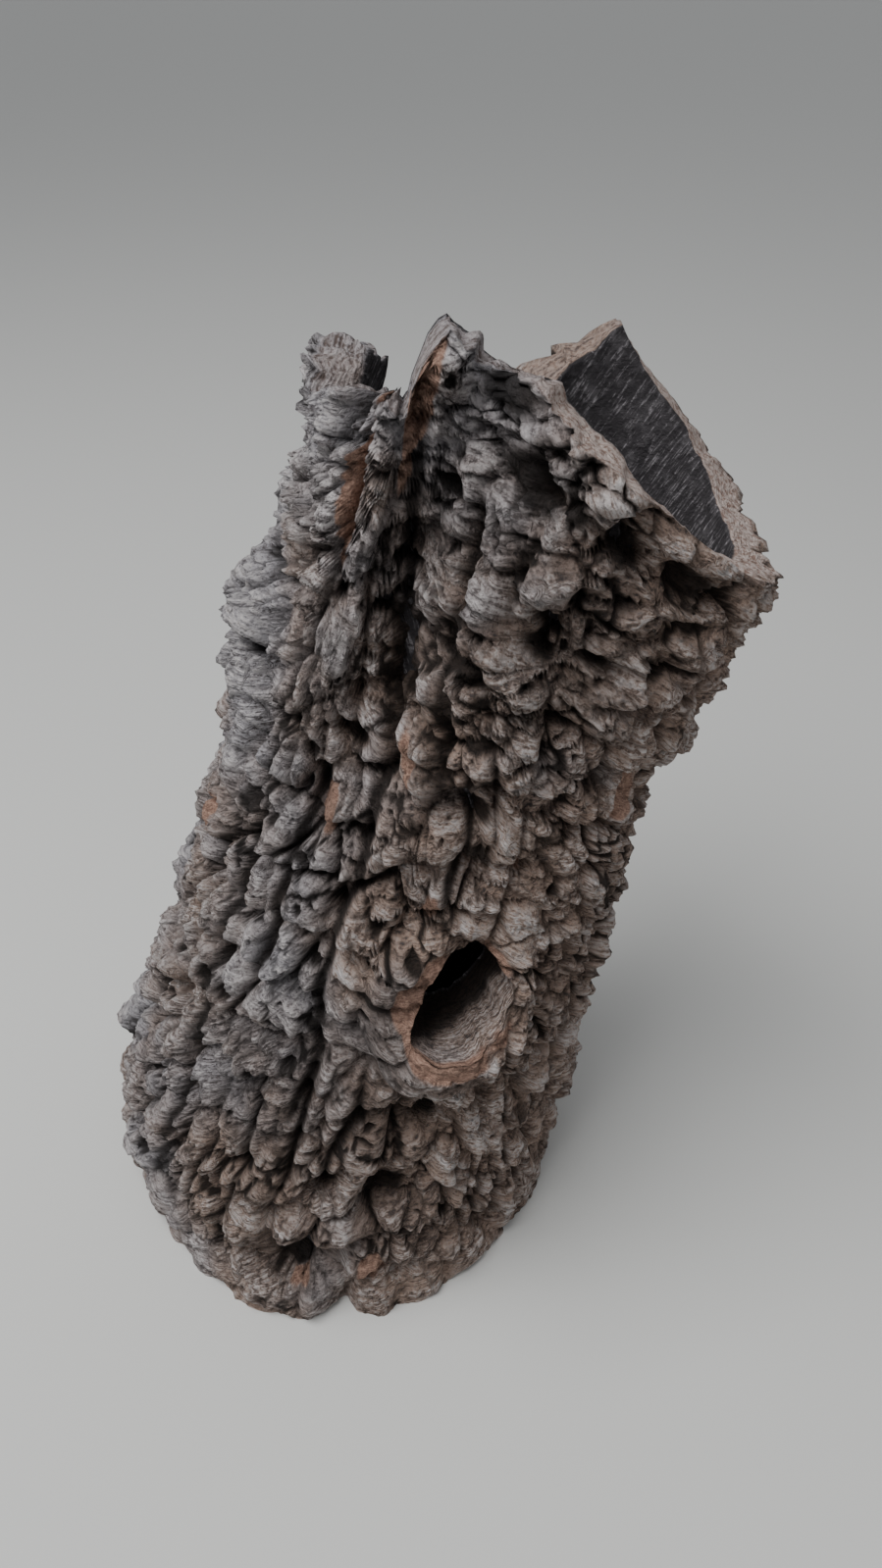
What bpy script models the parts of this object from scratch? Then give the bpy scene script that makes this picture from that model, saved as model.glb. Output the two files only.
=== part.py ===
"""Cork branch: a hollow, forked length of virgin cork bark that stands on its cut base.

The bark is a thick-walled tube. A point on it has two coordinates: ridge, which counts the bark's
lengthwise ridges anticlockwise from the right-hand side (0) past the back (8), left (16) and front (24),
and rise, which runs from 0 at the base to 1 at the saw cut across the right limb. A row of equal rise lies
in a plane that tilts to the right as the stem climbs. Three solids meet at the fork: trunk, left_limb and
right_limb. X is to the right, Y to the back and Z up, in metres. The origin is on the ground, at the middle
of the footprint.
"""

import math

import bmesh
import bpy
import numpy as np

# Overall form. Each station is a tilted oval: the ends of its long axis, its half depth front to back, how
# far its centre stands back, and how square the oval is (2 is an ellipse, less is nearer a diamond).
STATIONS = np.array([
    # rise  left x  left z right x right z half depth  back  squareness
    (0.00, -0.112, 0.000, 0.119, 0.000, 0.118, -0.003, 1.85),
    (0.12, -0.112, 0.045, 0.123, 0.045, 0.114, -0.002, 1.92),
    (0.30, -0.091, 0.118, 0.128, 0.110, 0.104, 0.000, 2.05),
    (0.48, -0.061, 0.200, 0.139, 0.175, 0.094, 0.003, 2.15),
    (0.64, -0.034, 0.275, 0.148, 0.225, 0.087, 0.005, 2.20),
    (0.78, -0.014, 0.335, 0.157, 0.265, 0.083, 0.008, 2.20),
    (0.90, 0.009, 0.410, 0.180, 0.305, 0.082, 0.013, 2.20),
    (1.00, 0.034, 0.492, 0.197, 0.348, 0.084, 0.020, 2.20),
])
STEM_LENGTH = 0.43          # mean length of bark from the base to the saw cut
RIDGES = 32                 # lengthwise ridges round the bark
RIDGE_WIDTH = 0.021         # mean width of one ridge
GIRTH = RIDGES * RIDGE_WIDTH
PINCH_AT = -0.47            # where the crease between the two limbs lies, as a share of the half width
PINCH_WIDTH = 0.17
PINCH_SHARE = 0.34          # how much of the depth the crease takes at the top
PINCH_INSIDE = 2.0          # how much wider the crease is on the inner face
CREASE_RISE = (0.0, 0.55, 0.62, 0.70, 0.84, 0.90, 0.957, 0.978, 0.992, 1.0)
CREASE_TURN = (0.6, 1.30, 1.30, 1.05, -0.10, -0.45, -0.70, -0.72, -0.40, -0.30)    # its drift, in ridges
CREASE_SPREAD = (3.6, 4.2)  # how many ridges to its left and right drift with it
WANDER = 0.40               # how far ridge lines wander, in ridges
WANDER_WAVES = 5            # waves of it round the stem
WANDER_CLIMB = 9.0          # how fast the waves turn with rise
WANDER_SPAN = 1.7           # half waves in its strength from the base to the saw cut
FOOT_NOTCH_AT = 0.05        # the notch between the two front lobes of the foot
FOOT_NOTCH_WIDTH = 0.08
FOOT_NOTCH_SHARE = 0.25
FOOT_RISE = 0.09            # rise over which the foot's lobes fade

# The middle of the part's footprint, which is put on the origin
FOOTPRINT_MIDDLE = (0.0391, -0.0045)

# Wall: thickness of the bark from its mean outer face to the smooth inner face, by rise
WALL_RISE = (0.0, 0.5, 0.8, 1.0)
WALL_THICKNESS = (0.019, 0.017, 0.014, 0.013)

# Fork and rims, as rise by ridge. The limbs start where the split is, and end at the rim.
SPLIT_RIDGE = (0, 4, 8, 11, 13, 16, 19, 21, 22.5, 25, 28, 32)
SPLIT_RISE = (0.66, 0.69, 0.75, 0.79, 0.75, 0.71, 0.80, 0.925, 0.87, 0.77, 0.69, 0.66)
LEFT_LIMB = (11, 21)        # first and last ridge line of the left limb
RIGHT_LIMB = (21, 43)       # and of the right limb, which passes ridge 32 at the right-hand side
LEFT_RIM_RIDGE = (11, 12.6, 13.2, 13.5, 16.0, 16.6, 17.7, 19.6, 20.2, 21)
LEFT_RIM_RISE = (0.82, 0.86, 0.885, 0.925, 0.925, 0.905, 0.920, 0.940, 0.948, 0.955)
RIGHT_RIM_RIDGE = (21, 21.3, 21.7, 22.1, 22.7, 26, 30, 32, 34, 36, 38, 39, 40.2, 41.2, 42.2, 43)
RIGHT_RIM_RISE = (
    0.975, 0.997, 0.998, 0.988, 0.993, 0.994, 1.0, 1.0, 1.008, 1.015, 1.02, 1.02, 0.955, 0.90, 0.85, 0.82)

# Bark relief, measured from the mean outer face
BEND = 0.0056               # the coordinates are bent by this much, so that no edge is straight
BEND_SIZE = 0.034
RING = 4.1                  # size of the ring on which the sway of the fissures is read from noise
SWAY = (0.30, 0.14)         # sway of the fissures in ridges, wide and narrow
FISSURE_DEPTH = 0.0048      # between two ridges, where the fissure is open
FISSURE_OPEN = (0.45, 1.1, 0.042)   # how open fissures are: mean, variation, size of the variation
CREST_HEIGHT = 0.0020
CREST_SHARPNESS = 2.2
LUMP_WIDTH = 0.0295         # mean size of the lumps that the bark is broken into
LUMP_LENGTH = 0.026
LUMP_HEIGHT = 0.0062
LUMP_CRACK = 0.0036         # depth of the crack between two lumps
LUMP_CRACK_WIDTH = 0.28
LUMP_SCATTER = 0.9          # how far a lump's centre strays from the middle of its place
CRACK_OPEN = (0.35, 1.1, 0.030)     # how open the cracks are: mean, variation, size of the variation
LUMP_LIFT = 0.0030          # how much higher or lower than its neighbours a lump lies
LUMP_TILT = 0.0062          # how much the lower end of a lump stands out over its upper end
RELIEF_MIDDLE = 0.0044      # mean height of the lumps, taken off so that they straddle the mean face
CALM_FOOT = 0.16            # rise up to which the foot is smoother
CALM_SPOT = (30.5, 0.84, 0.050, 0.045)      # smooth place under the tip: ridge, rise, half width and length
CALM_SHARE = (0.85, 0.75)   # how smooth the bark is there and at the foot
CALM_LOSS = 0.6             # how much of the relief is lost where it is smoothest
FOOT_SHARE = 0.55           # share of the relief that is left at the base

# Broad swellings and hollows: ridge, rise, half width and half length in metres, height (negative if hollow)
LANDMARKS = (
    (16.6, 0.745, 0.022, 0.028, 0.0110),    # plate that steps out on the left below the limb
    (16.9, 0.600, 0.018, 0.022, 0.0045),    # second step on the left
    (15.5, 0.155, 0.030, 0.030, 0.0060),    # bulge at the lower left
    (20.1, 0.590, 0.018, 0.015, 0.0055),    # round lumps left of the middle
    (20.8, 0.290, 0.020, 0.010, 0.0050),
    (22.8, 0.873, 0.020, 0.010, 0.0065),    # blue-grey lump below the fork
    (23.9, 0.812, 0.024, 0.020, 0.0080),    # boss in the middle of the front
    (22.4, 0.687, 0.018, 0.013, 0.0050),
    (22.5, 0.532, 0.022, 0.013, 0.0090),    # brow at the upper left of the knot hole
    (27.3, 0.520, 0.020, 0.018, -0.0040),   # hollow to the right of the knot hole
    (23.7, 0.735, 0.013, 0.009, -0.0120),   # dark gaps above the knot hole
    (23.9, 0.680, 0.014, 0.010, -0.0080),
    (24.9, 0.318, 0.016, 0.008, -0.0120),   # shadow under the collar
    (24.5, 0.205, 0.012, 0.012, -0.0140),   # pits above the foot
    (22.9, 0.225, 0.010, 0.008, -0.0100),
    (22.8, 0.135, 0.020, 0.008, 0.0080),    # brow over the recess in the foot
    (22.85, 0.088, 0.014, 0.010, -0.0180),  # recess in the foot
    (27.6, 0.085, 0.012, 0.010, -0.0100),
    (28.5, 0.760, 0.030, 0.022, -0.0040),   # smooth fold under the right limb
    (31.0, 0.800, 0.030, 0.020, 0.0050),    # shoulder under the limb's tip
    (5.0, 0.420, 0.028, 0.040, 0.0060),     # swelling on the back
    (10.2, 0.250, 0.024, 0.030, 0.0050),    # swelling low on the back
    (8.6, 0.560, 0.014, 0.030, -0.0060),    # long crease on the back
)

# Long grooves: depth in metres, and the ridge they follow by rise
GROOVES = (
    (0.0075, (0.30, 0.40, 0.47, 0.58, 0.63, 0.705, 0.755, 0.82, 0.86, 0.90, 0.93, 0.96),
     (21.6, 21.8, 21.2, 21.1, 21.3, 21.4, 21.9, 21.8, 21.85, 21.7, 21.6, 21.35)),
    (0.0055, (0.45, 0.555, 0.62, 0.69, 0.723, 0.81, 0.87, 0.95),
     (19.9, 19.8, 19.7, 20.05, 19.6, 19.5, 20.0, 20.0)),
    (0.0050, (0.10, 0.444, 0.55, 0.68, 0.81), (18.9, 18.9, 18.7, 18.65, 19.2)),
    (0.0055, (0.60, 0.68, 0.735, 0.77, 0.83, 0.905, 0.955), (23.3, 23.4, 23.6, 23.05, 22.9, 22.85, 22.9)),
    (0.0045, (0.56, 0.70, 0.80, 0.86), (24.9, 25.0, 25.1, 25.1)),
)
GROOVE_HALF_WIDTH = 0.0065
GROOVE_FADE = 0.03          # rise over which a groove fades in and out

# Knot hole: the hollow stub of a side branch, with a collar that stands out furthest at its lower lip
KNOT_RIDGE = 24.50
KNOT_RISE = 0.512
KNOT_HALF_WIDTH = 0.0175
KNOT_HALF_HEIGHT = 0.0235
KNOT_THROAT = 0.80          # size of the hole in the inner face, as a share of the mouth
COLLAR_MEAN = 0.0170        # how far the collar stands out
COLLAR_LIP = 0.0150         # how much further at its lower lip, and less at its brow
COLLAR_FLAT = 0.0080        # width of the broken lip
COLLAR_REACH = 0.0210       # mean distance from the lip at which the collar has faded
COLLAR_LEAN = 0.35          # how much further it reaches at its lower left, and less at its upper right
KNOT_UNEVEN = ((2, 0.6, 0.07), (3, 2.0, 0.05))      # waves in the outline of the hole: count, phase, height

# Mesh
COLUMNS_PER_RIDGE = 3
TRUNK_ROWS = 24
TRUNK_INNER_ROWS = (1.0, 0.86, 0.745, 0.705, 0.665, 0.625, 0.42, 0.20, 0.0)
LIMB_ROWS = 12
LIMB_INNER_ROWS = 4
KNOT_COLUMNS = 2            # columns of the mesh on either side of the knot hole's centre
KNOT_OUTER_ROWS = (14, 17)  # rows of the outer face that the hole interrupts
KNOT_INNER_ROWS = (2, 5)    # and rows of the inner face
KNOT_SPREAD = 3.0           # how far the mesh bends round the hole, in half sizes of its block
JOINT_GAP = 0.0003          # clearance between two solids that touch


def smooth(x):
    """Ramp from 0 to 1 with level ends."""
    x = np.clip(x, 0.0, 1.0)
    return x * x * (3.0 - 2.0 * x)


def scattered(i, j, seed):
    """Repeatable number from 0 to 1 for each pair of whole numbers."""
    n = i.astype(np.int64) * 374761393 + j.astype(np.int64) * 668265263 + seed * 1442695041
    n = (n ^ (n >> 13)) & 0xFFFFFFFF
    n = (n * 1274126177) & 0xFFFFFFFF
    return ((n ^ (n >> 16)) & 0xFFFFFF) / float(0x1000000)


def soft_noise(x, y, seed, wrap=1 << 40):
    """Smooth noise from -1 to 1, made of scattered numbers on whole places. It repeats every wrap in x."""
    i, j = np.floor(x), np.floor(y)
    fx, fy = smooth(x - i), smooth(y - j)
    here, beside = np.mod(i, wrap), np.mod(i + 1, wrap)
    low = scattered(here, j, seed) * (1 - fx) + scattered(beside, j, seed) * fx
    high = scattered(here, j + 1, seed) * (1 - fx) + scattered(beside, j + 1, seed) * fx
    return 2.0 * (low * (1 - fy) + high * fy) - 1.0


def bark_noise(across, along, cell, seed, stretch=1.0):
    """Noise over the bark with features of a given size, seamless round the stem."""
    wrap = max(1, round(GIRTH / cell))
    return soft_noise(np.mod(across / GIRTH, 1.0) * wrap, along / (cell * stretch), seed, wrap)


def station(rise, column):
    """One column of STATIONS at any rise: a cubic curve through the stations with mean slopes."""
    knots, values = STATIONS[:, 0], STATIONS[:, column]
    slopes = np.gradient(values, knots)
    i = np.clip(np.searchsorted(knots, rise, side="right") - 1, 0, len(knots) - 2)
    gap = knots[i + 1] - knots[i]
    t = (rise - knots[i]) / gap
    start = (1 + 2 * t) * (1 - t) ** 2 * values[i] + t * (1 - t) ** 2 * gap * slopes[i]
    end = t * t * (3 - 2 * t) * values[i + 1] + t * t * (t - 1) * gap * slopes[i + 1]
    return start + end


def bearing(ridge, rise):
    """Angle round the stem of a ridge line, which wanders as it climbs and follows the front crease."""
    turn = np.mod(ridge, RIDGES)
    waves = np.sin(2 * math.pi * turn / RIDGES * WANDER_WAVES + WANDER_CLIMB * rise)
    wander = WANDER * waves * np.sin(math.pi * rise * WANDER_SPAN)
    spread = np.where(turn < LEFT_LIMB[1], CREASE_SPREAD[0], CREASE_SPREAD[1])
    near = np.exp(-(((turn - LEFT_LIMB[1]) / spread) ** 2))
    drift = np.interp(rise, CREASE_RISE, CREASE_TURN)
    return 2 * math.pi * (ridge + wander * (1 - near) + drift * near) / RIDGES


def mean_face(ridge, rise, crease_width=PINCH_WIDTH):
    """The outer face without its relief: a tilted oval at each rise, creased between the two limbs."""
    angle = bearing(ridge, rise)
    left_x, left_z, right_x, right_z, depth, back, square = (station(rise, c) for c in range(1, 8))
    across, away = np.cos(angle), np.sin(angle)
    across = np.sign(across) * np.abs(across) ** (2 / square)
    away = np.sign(away) * np.abs(away) ** (2 / square)
    crease = smooth((rise - 0.5) / 0.4) * np.exp(-(((across - PINCH_AT) / crease_width) ** 2))
    foot = np.exp(-((rise / FOOT_RISE) ** 2)) * (away < 0)
    notch = foot * np.exp(-(((across - FOOT_NOTCH_AT) / FOOT_NOTCH_WIDTH) ** 2))
    away = away * (1 - PINCH_SHARE * crease) * (1 - FOOT_NOTCH_SHARE * notch + 0.05 * foot)
    x = (left_x + right_x) / 2 + (right_x - left_x) / 2 * across - FOOTPRINT_MIDDLE[0]
    z = (left_z + right_z) / 2 + (right_z - left_z) / 2 * across
    return np.stack([x, back + depth * away - FOOTPRINT_MIDDLE[1], z], axis=-1)


def outward(ridge, rise):
    """Unit normal of the softly creased face, from its slopes both ways. At the foot it is level."""
    step_ridge, step_rise = 0.25, 0.01
    low, high = np.clip(rise - step_rise, 0, None), rise + step_rise
    soft = PINCH_WIDTH * PINCH_INSIDE
    round_it = mean_face(ridge + step_ridge, rise, soft) - mean_face(ridge - step_ridge, rise, soft)
    up_it = mean_face(ridge, high, soft) - mean_face(ridge, low, soft)
    normal = np.cross(round_it, up_it)
    normal[..., 2] *= smooth(rise / 0.06)
    return normal / np.linalg.norm(normal, axis=-1, keepdims=True)


def knot_scale():
    """Half the width of the knot hole's mouth in ridges, and half its height in rise, where the hole is."""
    ridge, rise = np.full(4, KNOT_RIDGE), np.full(4, KNOT_RISE)
    ridge[:2] += (-0.5, 0.5)
    rise[2:] += (-0.05, 0.05)
    left, right, below, above = mean_face(ridge, rise)
    per_ridge = np.linalg.norm(right - left)
    per_rise = np.linalg.norm(above - below) / 0.1
    return KNOT_HALF_WIDTH / per_ridge, KNOT_HALF_HEIGHT / per_rise


def lumps(across, along):
    """The lumps of the bark: cells about scattered centres, seamless round the stem.

    Returns how far a point lies inside its lump (0 at its edge), the lump's own lift from -1 to 1, and how
    far the point is above the lump's middle, in lump lengths.
    """
    wrap = round(GIRTH / LUMP_WIDTH)
    x, y = np.mod(across / GIRTH, 1.0) * wrap, along / LUMP_LENGTH
    column, row = np.floor(x), np.floor(y)
    nearest = np.full(x.shape, 9.0)
    second = np.full(x.shape, 9.0)
    lift, above = np.zeros(x.shape), np.zeros(x.shape)
    for i in (-1, 0, 1):
        for j in (-1, 0, 1):
            near_column, near_row = np.mod(column + i, wrap), row + j
            dx = x - (column + i + 0.5 + LUMP_SCATTER * (scattered(near_column, near_row, 21) - 0.5))
            dy = y - (near_row + 0.5 + LUMP_SCATTER * (scattered(near_column, near_row, 22) - 0.5))
            distance = np.hypot(dx, dy)
            closer = distance < nearest
            second = np.where(closer, nearest, np.minimum(second, distance))
            nearest = np.where(closer, distance, nearest)
            lift = np.where(closer, 2 * scattered(near_column, near_row, 23) - 1, lift)
            above = np.where(closer, dy, above)
    return second - nearest, lift, above


def opening(across, along, how, seed, stretch=1.0):
    """How open the cracks are at a place, from 0 to about 1."""
    mean, variation, size = how
    return np.clip(mean + variation * bark_noise(across, along, size, seed, stretch), 0.0, 1.3)


def spot(turn, rise, where):
    """Distance from a spot, 1 at its edge. The spot is (ridge, rise, half width, half length)."""
    gap = np.mod(turn - where[0] + RIDGES / 2, RIDGES) - RIDGES / 2
    return np.hypot(gap * RIDGE_WIDTH / where[2], (rise - where[1]) * STEM_LENGTH / where[3])


def relief(ridge, rise):
    """Height of the bark over the mean face: columns, fissures, lumps, grooves, landmarks and collar."""
    turn = np.mod(ridge, RIDGES)
    across, along = turn * RIDGE_WIDTH, rise * STEM_LENGTH
    bend_x = BEND * bark_noise(across, along, BEND_SIZE, 51)
    bend_y = BEND * bark_noise(across, along, BEND_SIZE, 61)
    under_tip = np.exp(-spot(turn, rise, CALM_SPOT) ** 2)
    at_foot = 1 - smooth(rise / CALM_FOOT)
    rough = 1 - CALM_LOSS * np.clip(CALM_SHARE[0] * under_tip + CALM_SHARE[1] * at_foot, 0.0, 1.0)

    around = 2 * math.pi * turn / RIDGES
    ring_x, ring_y = RING * np.cos(around), RING * np.sin(around)
    sway = SWAY[0] * soft_noise(ring_x + 17 * along, ring_y - 9 * along, 31)
    sway = sway + SWAY[1] * soft_noise(turn * 1.7, along * 60, 33) * np.sin(around / 2)
    column = turn + bend_x / RIDGE_WIDTH + sway
    from_fissure = 1 - np.abs(2 * (column - np.floor(column)) - 1)
    crest = 1 - (1 - from_fissure) ** CREST_SHARPNESS
    deep = opening(across, along, FISSURE_OPEN, 35, stretch=1.6) * rough
    height = CREST_HEIGHT * crest - FISSURE_DEPTH * deep * (1 - crest)

    inside, lift, above = lumps(across + bend_x, along + bend_y)
    height = height + LUMP_HEIGHT * np.sqrt(smooth(inside / 0.75)) * (0.4 + 0.6 * rough)
    crack = (1 - smooth(inside / LUMP_CRACK_WIDTH)) * opening(across, along, CRACK_OPEN, 77)
    height = height + (LUMP_LIFT * lift - LUMP_TILT * above - LUMP_CRACK * crack) * rough
    height = (height - RELIEF_MIDDLE) * (FOOT_SHARE + (1 - FOOT_SHARE) * smooth(rise / FOOT_RISE))

    for depth, at_rise, at_ridge in GROOVES:
        gap = (turn - np.interp(rise, at_rise, at_ridge)) * RIDGE_WIDTH / GROOVE_HALF_WIDTH
        along_it = smooth((rise - at_rise[0]) / GROOVE_FADE) * smooth((at_rise[-1] - rise) / GROOVE_FADE)
        height = height - depth * along_it * np.exp(-gap ** 2)
    for *where, bump in LANDMARKS:
        height = height + bump * np.exp(-0.7 * spot(turn, rise, where) ** 3)

    half_width, half_height = knot_scale()
    p, q = (turn - KNOT_RIDGE) / half_width, (rise - KNOT_RISE) / half_height
    distance = np.maximum(np.hypot(p, q), 1e-6)
    from_lip = (distance - 1) * (KNOT_HALF_WIDTH + KNOT_HALF_HEIGHT) / 2
    reach = COLLAR_REACH * (1 - COLLAR_LEAN * (0.45 * p + 0.9 * q) / distance)
    collar = 1 - smooth((from_lip - COLLAR_FLAT) / (reach - COLLAR_FLAT))
    stand_out = COLLAR_MEAN - COLLAR_LIP * q / distance
    return height * (1 - collar * 0.8) + stand_out * collar


def outer_face(ridge, rise):
    """The rough outer face. Its foot is trimmed level with the ground."""
    point = mean_face(ridge, rise) + outward(ridge, rise) * relief(ridge, rise)[..., None]
    point[..., 2] = np.where(rise <= 0, 0.0, np.maximum(point[..., 2], 0.0015))
    return point


def inner_face(ridge, rise):
    """The smooth inner face, one wall thickness inside the softly creased face."""
    thickness = np.interp(rise, WALL_RISE, WALL_THICKNESS)
    soft = PINCH_WIDTH * PINCH_INSIDE
    point = mean_face(ridge, rise, soft) - outward(ridge, rise) * thickness[..., None]
    point[..., 2] = np.where(rise <= 0, 0.0, point[..., 2])
    return point


def split_rise(ridge):
    """Rise of the split between the trunk and the limbs."""
    return np.interp(np.mod(ridge, RIDGES), SPLIT_RIDGE, SPLIT_RISE)


def make_solid(name, points, faces, material):
    """One closed mesh object, its faces turned outwards and its round parts shaded smooth."""
    mesh = bpy.data.meshes.new(name)
    mesh.from_pydata([tuple(p) for p in points], [], faces)
    mesh.validate()
    bm = bmesh.new()
    bm.from_mesh(mesh)
    bmesh.ops.recalc_face_normals(bm, faces=bm.faces)
    bmesh.ops.triangulate(bm, faces=bm.faces)
    bm.to_mesh(mesh)
    bm.free()
    mesh.shade_smooth()
    mesh.set_sharp_from_angle(angle=math.radians(50))
    mesh.materials.append(material)
    solid = bpy.data.objects.new(name, mesh)
    bpy.context.scene.collection.objects.link(solid)
    return solid


def bend_round_knot(ridge, share, middle_share, half_block, size):
    """Ridge and rise of grid points, with a block of cells about the knot hole opened to an uneven oval.

    Square rings about the block turn into ovals, and fade back to the straight mesh KNOT_SPREAD blocks out.
    """
    rise = share * split_rise(ridge)
    half_width, half_height = knot_scale()
    x = (ridge - KNOT_RIDGE) / half_block[0]
    y = (share - middle_share) / half_block[1]
    ring = np.maximum(np.maximum(np.abs(x), np.abs(y)), 1e-9)
    angle = np.arctan2(y, x)
    fade = smooth((KNOT_SPREAD - ring) / (KNOT_SPREAD - 1))
    grown = (1 + (ring - 1) * 0.6) * size
    grown = grown * (1 + sum(wave * np.sin(count * angle + phase) for count, phase, wave in KNOT_UNEVEN))
    ridge = ridge + fade * (KNOT_RIDGE + half_width * grown * np.cos(angle) - ridge)
    rise = rise + fade * (KNOT_RISE + half_height * grown * np.sin(angle) - rise)
    return ridge, rise


def block_edge(first_column, last_column, first_row, last_row):
    """Grid places round the edge of a block, anticlockwise from its lower left corner."""
    columns = range(first_column, last_column)
    rows = range(first_row, last_row)
    edge = [(c, first_row) for c in columns]
    edge += [(last_column, r) for r in rows]
    edge += [(c, last_row) for c in range(last_column, first_column, -1)]
    edge += [(first_column, r) for r in range(last_row, first_row, -1)]
    return edge


def trunk_faces():
    """Outer and inner face of the trunk on one grid, its lines bent round the knot hole in both faces."""
    ridge = np.arange(RIDGES * COLUMNS_PER_RIDGE)[:, None] / COLUMNS_PER_RIDGE
    knot_share = KNOT_RISE / split_rise(KNOT_RIDGE)
    grids = []
    for shares, rows, size, face in (
        (np.arange(TRUNK_ROWS + 1) / TRUNK_ROWS, KNOT_OUTER_ROWS, 1.0, outer_face),
        (np.array(TRUNK_INNER_ROWS), KNOT_INNER_ROWS, KNOT_THROAT, inner_face),
    ):
        first, last = shares[rows[0]], shares[rows[1]]
        moved = shares + (knot_share - (first + last) / 2) * 4 * shares * (1 - shares)
        middle, half_share = (moved[rows[0]] + moved[rows[1]]) / 2, abs(moved[rows[0]] - moved[rows[1]]) / 2
        half_block = (KNOT_COLUMNS / COLUMNS_PER_RIDGE, half_share)
        places = np.broadcast_arrays(ridge, moved[None, :])
        grids.append(face(*bend_round_knot(*places, middle, half_block, size)))
    return np.concatenate(grids, axis=1)


def make_trunk(material):
    """The trunk: rows up the outer face, over the split and down the inner face, and the knot hole."""
    grid = trunk_faces()
    column_count, row_count = grid.shape[:2]
    points = grid.reshape(-1, 3)
    centre_column = round(KNOT_RIDGE * COLUMNS_PER_RIDGE)
    first, last = centre_column - KNOT_COLUMNS, centre_column + KNOT_COLUMNS

    def place(column, row):
        return (column % column_count) * row_count + row % row_count

    inner_start = TRUNK_ROWS + 1
    holes = {(c, r) for c in range(first, last) for r in range(*KNOT_OUTER_ROWS)}
    holes |= {(c, r + inner_start) for c in range(first, last) for r in range(*KNOT_INNER_ROWS)}
    faces = [
        (place(c, r), place(c + 1, r), place(c + 1, r + 1), place(c, r + 1))
        for c in range(column_count) for r in range(row_count) if (c, r) not in holes and r != TRUNK_ROWS
    ]
    for c in range(column_count):
        faces += split_strip(place(c, TRUNK_ROWS), place(c + 1, TRUNK_ROWS),
                             place(c, inner_start), place(c + 1, inner_start))
    mouth = block_edge(first, last, *KNOT_OUTER_ROWS)
    throat = [(c, inner_start + KNOT_INNER_ROWS[0] + KNOT_OUTER_ROWS[1] - r) for c, r in mouth]
    for i in range(len(mouth)):
        faces.append((place(*mouth[i]), place(*mouth[i - 1]), place(*throat[i - 1]), place(*throat[i])))
    return make_solid("trunk", points, faces, material)


def split_strip(outer, outer_next, inner, inner_next):
    """The two triangles across the wall between two columns, alike on both sides of the split."""
    return [(outer, outer_next, inner_next), (outer, inner_next, inner)]


def make_limb(name, first_ridge, last_ridge, rim_ridge, rim_rise, material):
    """A limb: a band of the tube from the split to the rim, closed at its two long edges."""
    column_count = (last_ridge - first_ridge) * COLUMNS_PER_RIDGE + 1
    ridge = first_ridge + np.arange(column_count)[:, None] / COLUMNS_PER_RIDGE
    side_gap = JOINT_GAP / 2 / RIDGE_WIDTH
    ridge = np.clip(ridge, first_ridge + side_gap, last_ridge - side_gap)
    foot = split_rise(ridge) + JOINT_GAP * 1.6 / STEM_LENGTH
    rim = np.interp(ridge, rim_ridge, rim_rise)
    outer_share = (np.arange(LIMB_ROWS + 1) / LIMB_ROWS)[None, :]
    inner_share = (1 - np.arange(LIMB_INNER_ROWS + 1) / LIMB_INNER_ROWS)[None, :]
    outside = outer_face(*np.broadcast_arrays(ridge, foot + (rim - foot) * outer_share))
    inside = inner_face(*np.broadcast_arrays(ridge, foot + (rim - foot) * inner_share))
    grid = np.concatenate([outside, inside], axis=1)
    row_count = grid.shape[1]
    points = grid.reshape(-1, 3)

    def place(column, row):
        return column * row_count + row % row_count

    faces = [
        (place(c, r), place(c + 1, r), place(c + 1, r + 1), place(c, r + 1))
        for c in range(column_count - 1) for r in range(row_count - 1)
    ]
    last_row = row_count - 1
    for c in range(column_count - 1):
        faces += split_strip(place(c, 0), place(c + 1, 0), place(c, last_row), place(c + 1, last_row))
    rows_each = LIMB_ROWS // LIMB_INNER_ROWS
    for column in (0, column_count - 1):
        for step in range(LIMB_INNER_ROWS):
            outer_side = [place(column, r) for r in range(step * rows_each, (step + 1) * rows_each + 1)]
            inner_side = [place(column, last_row - 1 - step), place(column, last_row - step)]
            faces.append(tuple(outer_side + inner_side))
    return make_solid(name, points, faces, material)


def bark_material(name, colour):
    """Matt bark of one colour."""
    material = bpy.data.materials.new(name)
    material.use_nodes = True
    shader = material.node_tree.nodes["Principled BSDF"]
    shader.inputs["Base Color"].default_value = (*colour, 1.0)
    shader.inputs["Roughness"].default_value = 0.92
    shader.inputs["Metallic"].default_value = 0.0
    return material


def main():
    """Clears the scene and makes the three solids."""
    for old in list(bpy.data.objects):
        bpy.data.objects.remove(old)
    make_trunk(bark_material("trunk_bark", (0.20, 0.165, 0.14)))
    left_bark = bark_material("left_limb_bark", (0.23, 0.20, 0.18))
    make_limb("left_limb", *LEFT_LIMB, LEFT_RIM_RIDGE, LEFT_RIM_RISE, left_bark)
    right_bark = bark_material("right_limb_bark", (0.22, 0.19, 0.165))
    make_limb("right_limb", *RIGHT_LIMB, RIGHT_RIM_RIDGE, RIGHT_RIM_RISE, right_bark)


main()
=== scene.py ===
"""Looks of the cork branch: fine meshes of the bark in place of the plain solids, their finish, and a studio.

The bark is a thick-walled tube with two coordinates. Ridge counts the lengthwise ridges anticlockwise from the
right-hand side (0) past the back (8), left (16) and front (24). Rise runs from 0 at the base to 1 at the saw
cut across the right limb. Lengths are in metres.
"""

import itertools
import math

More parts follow.
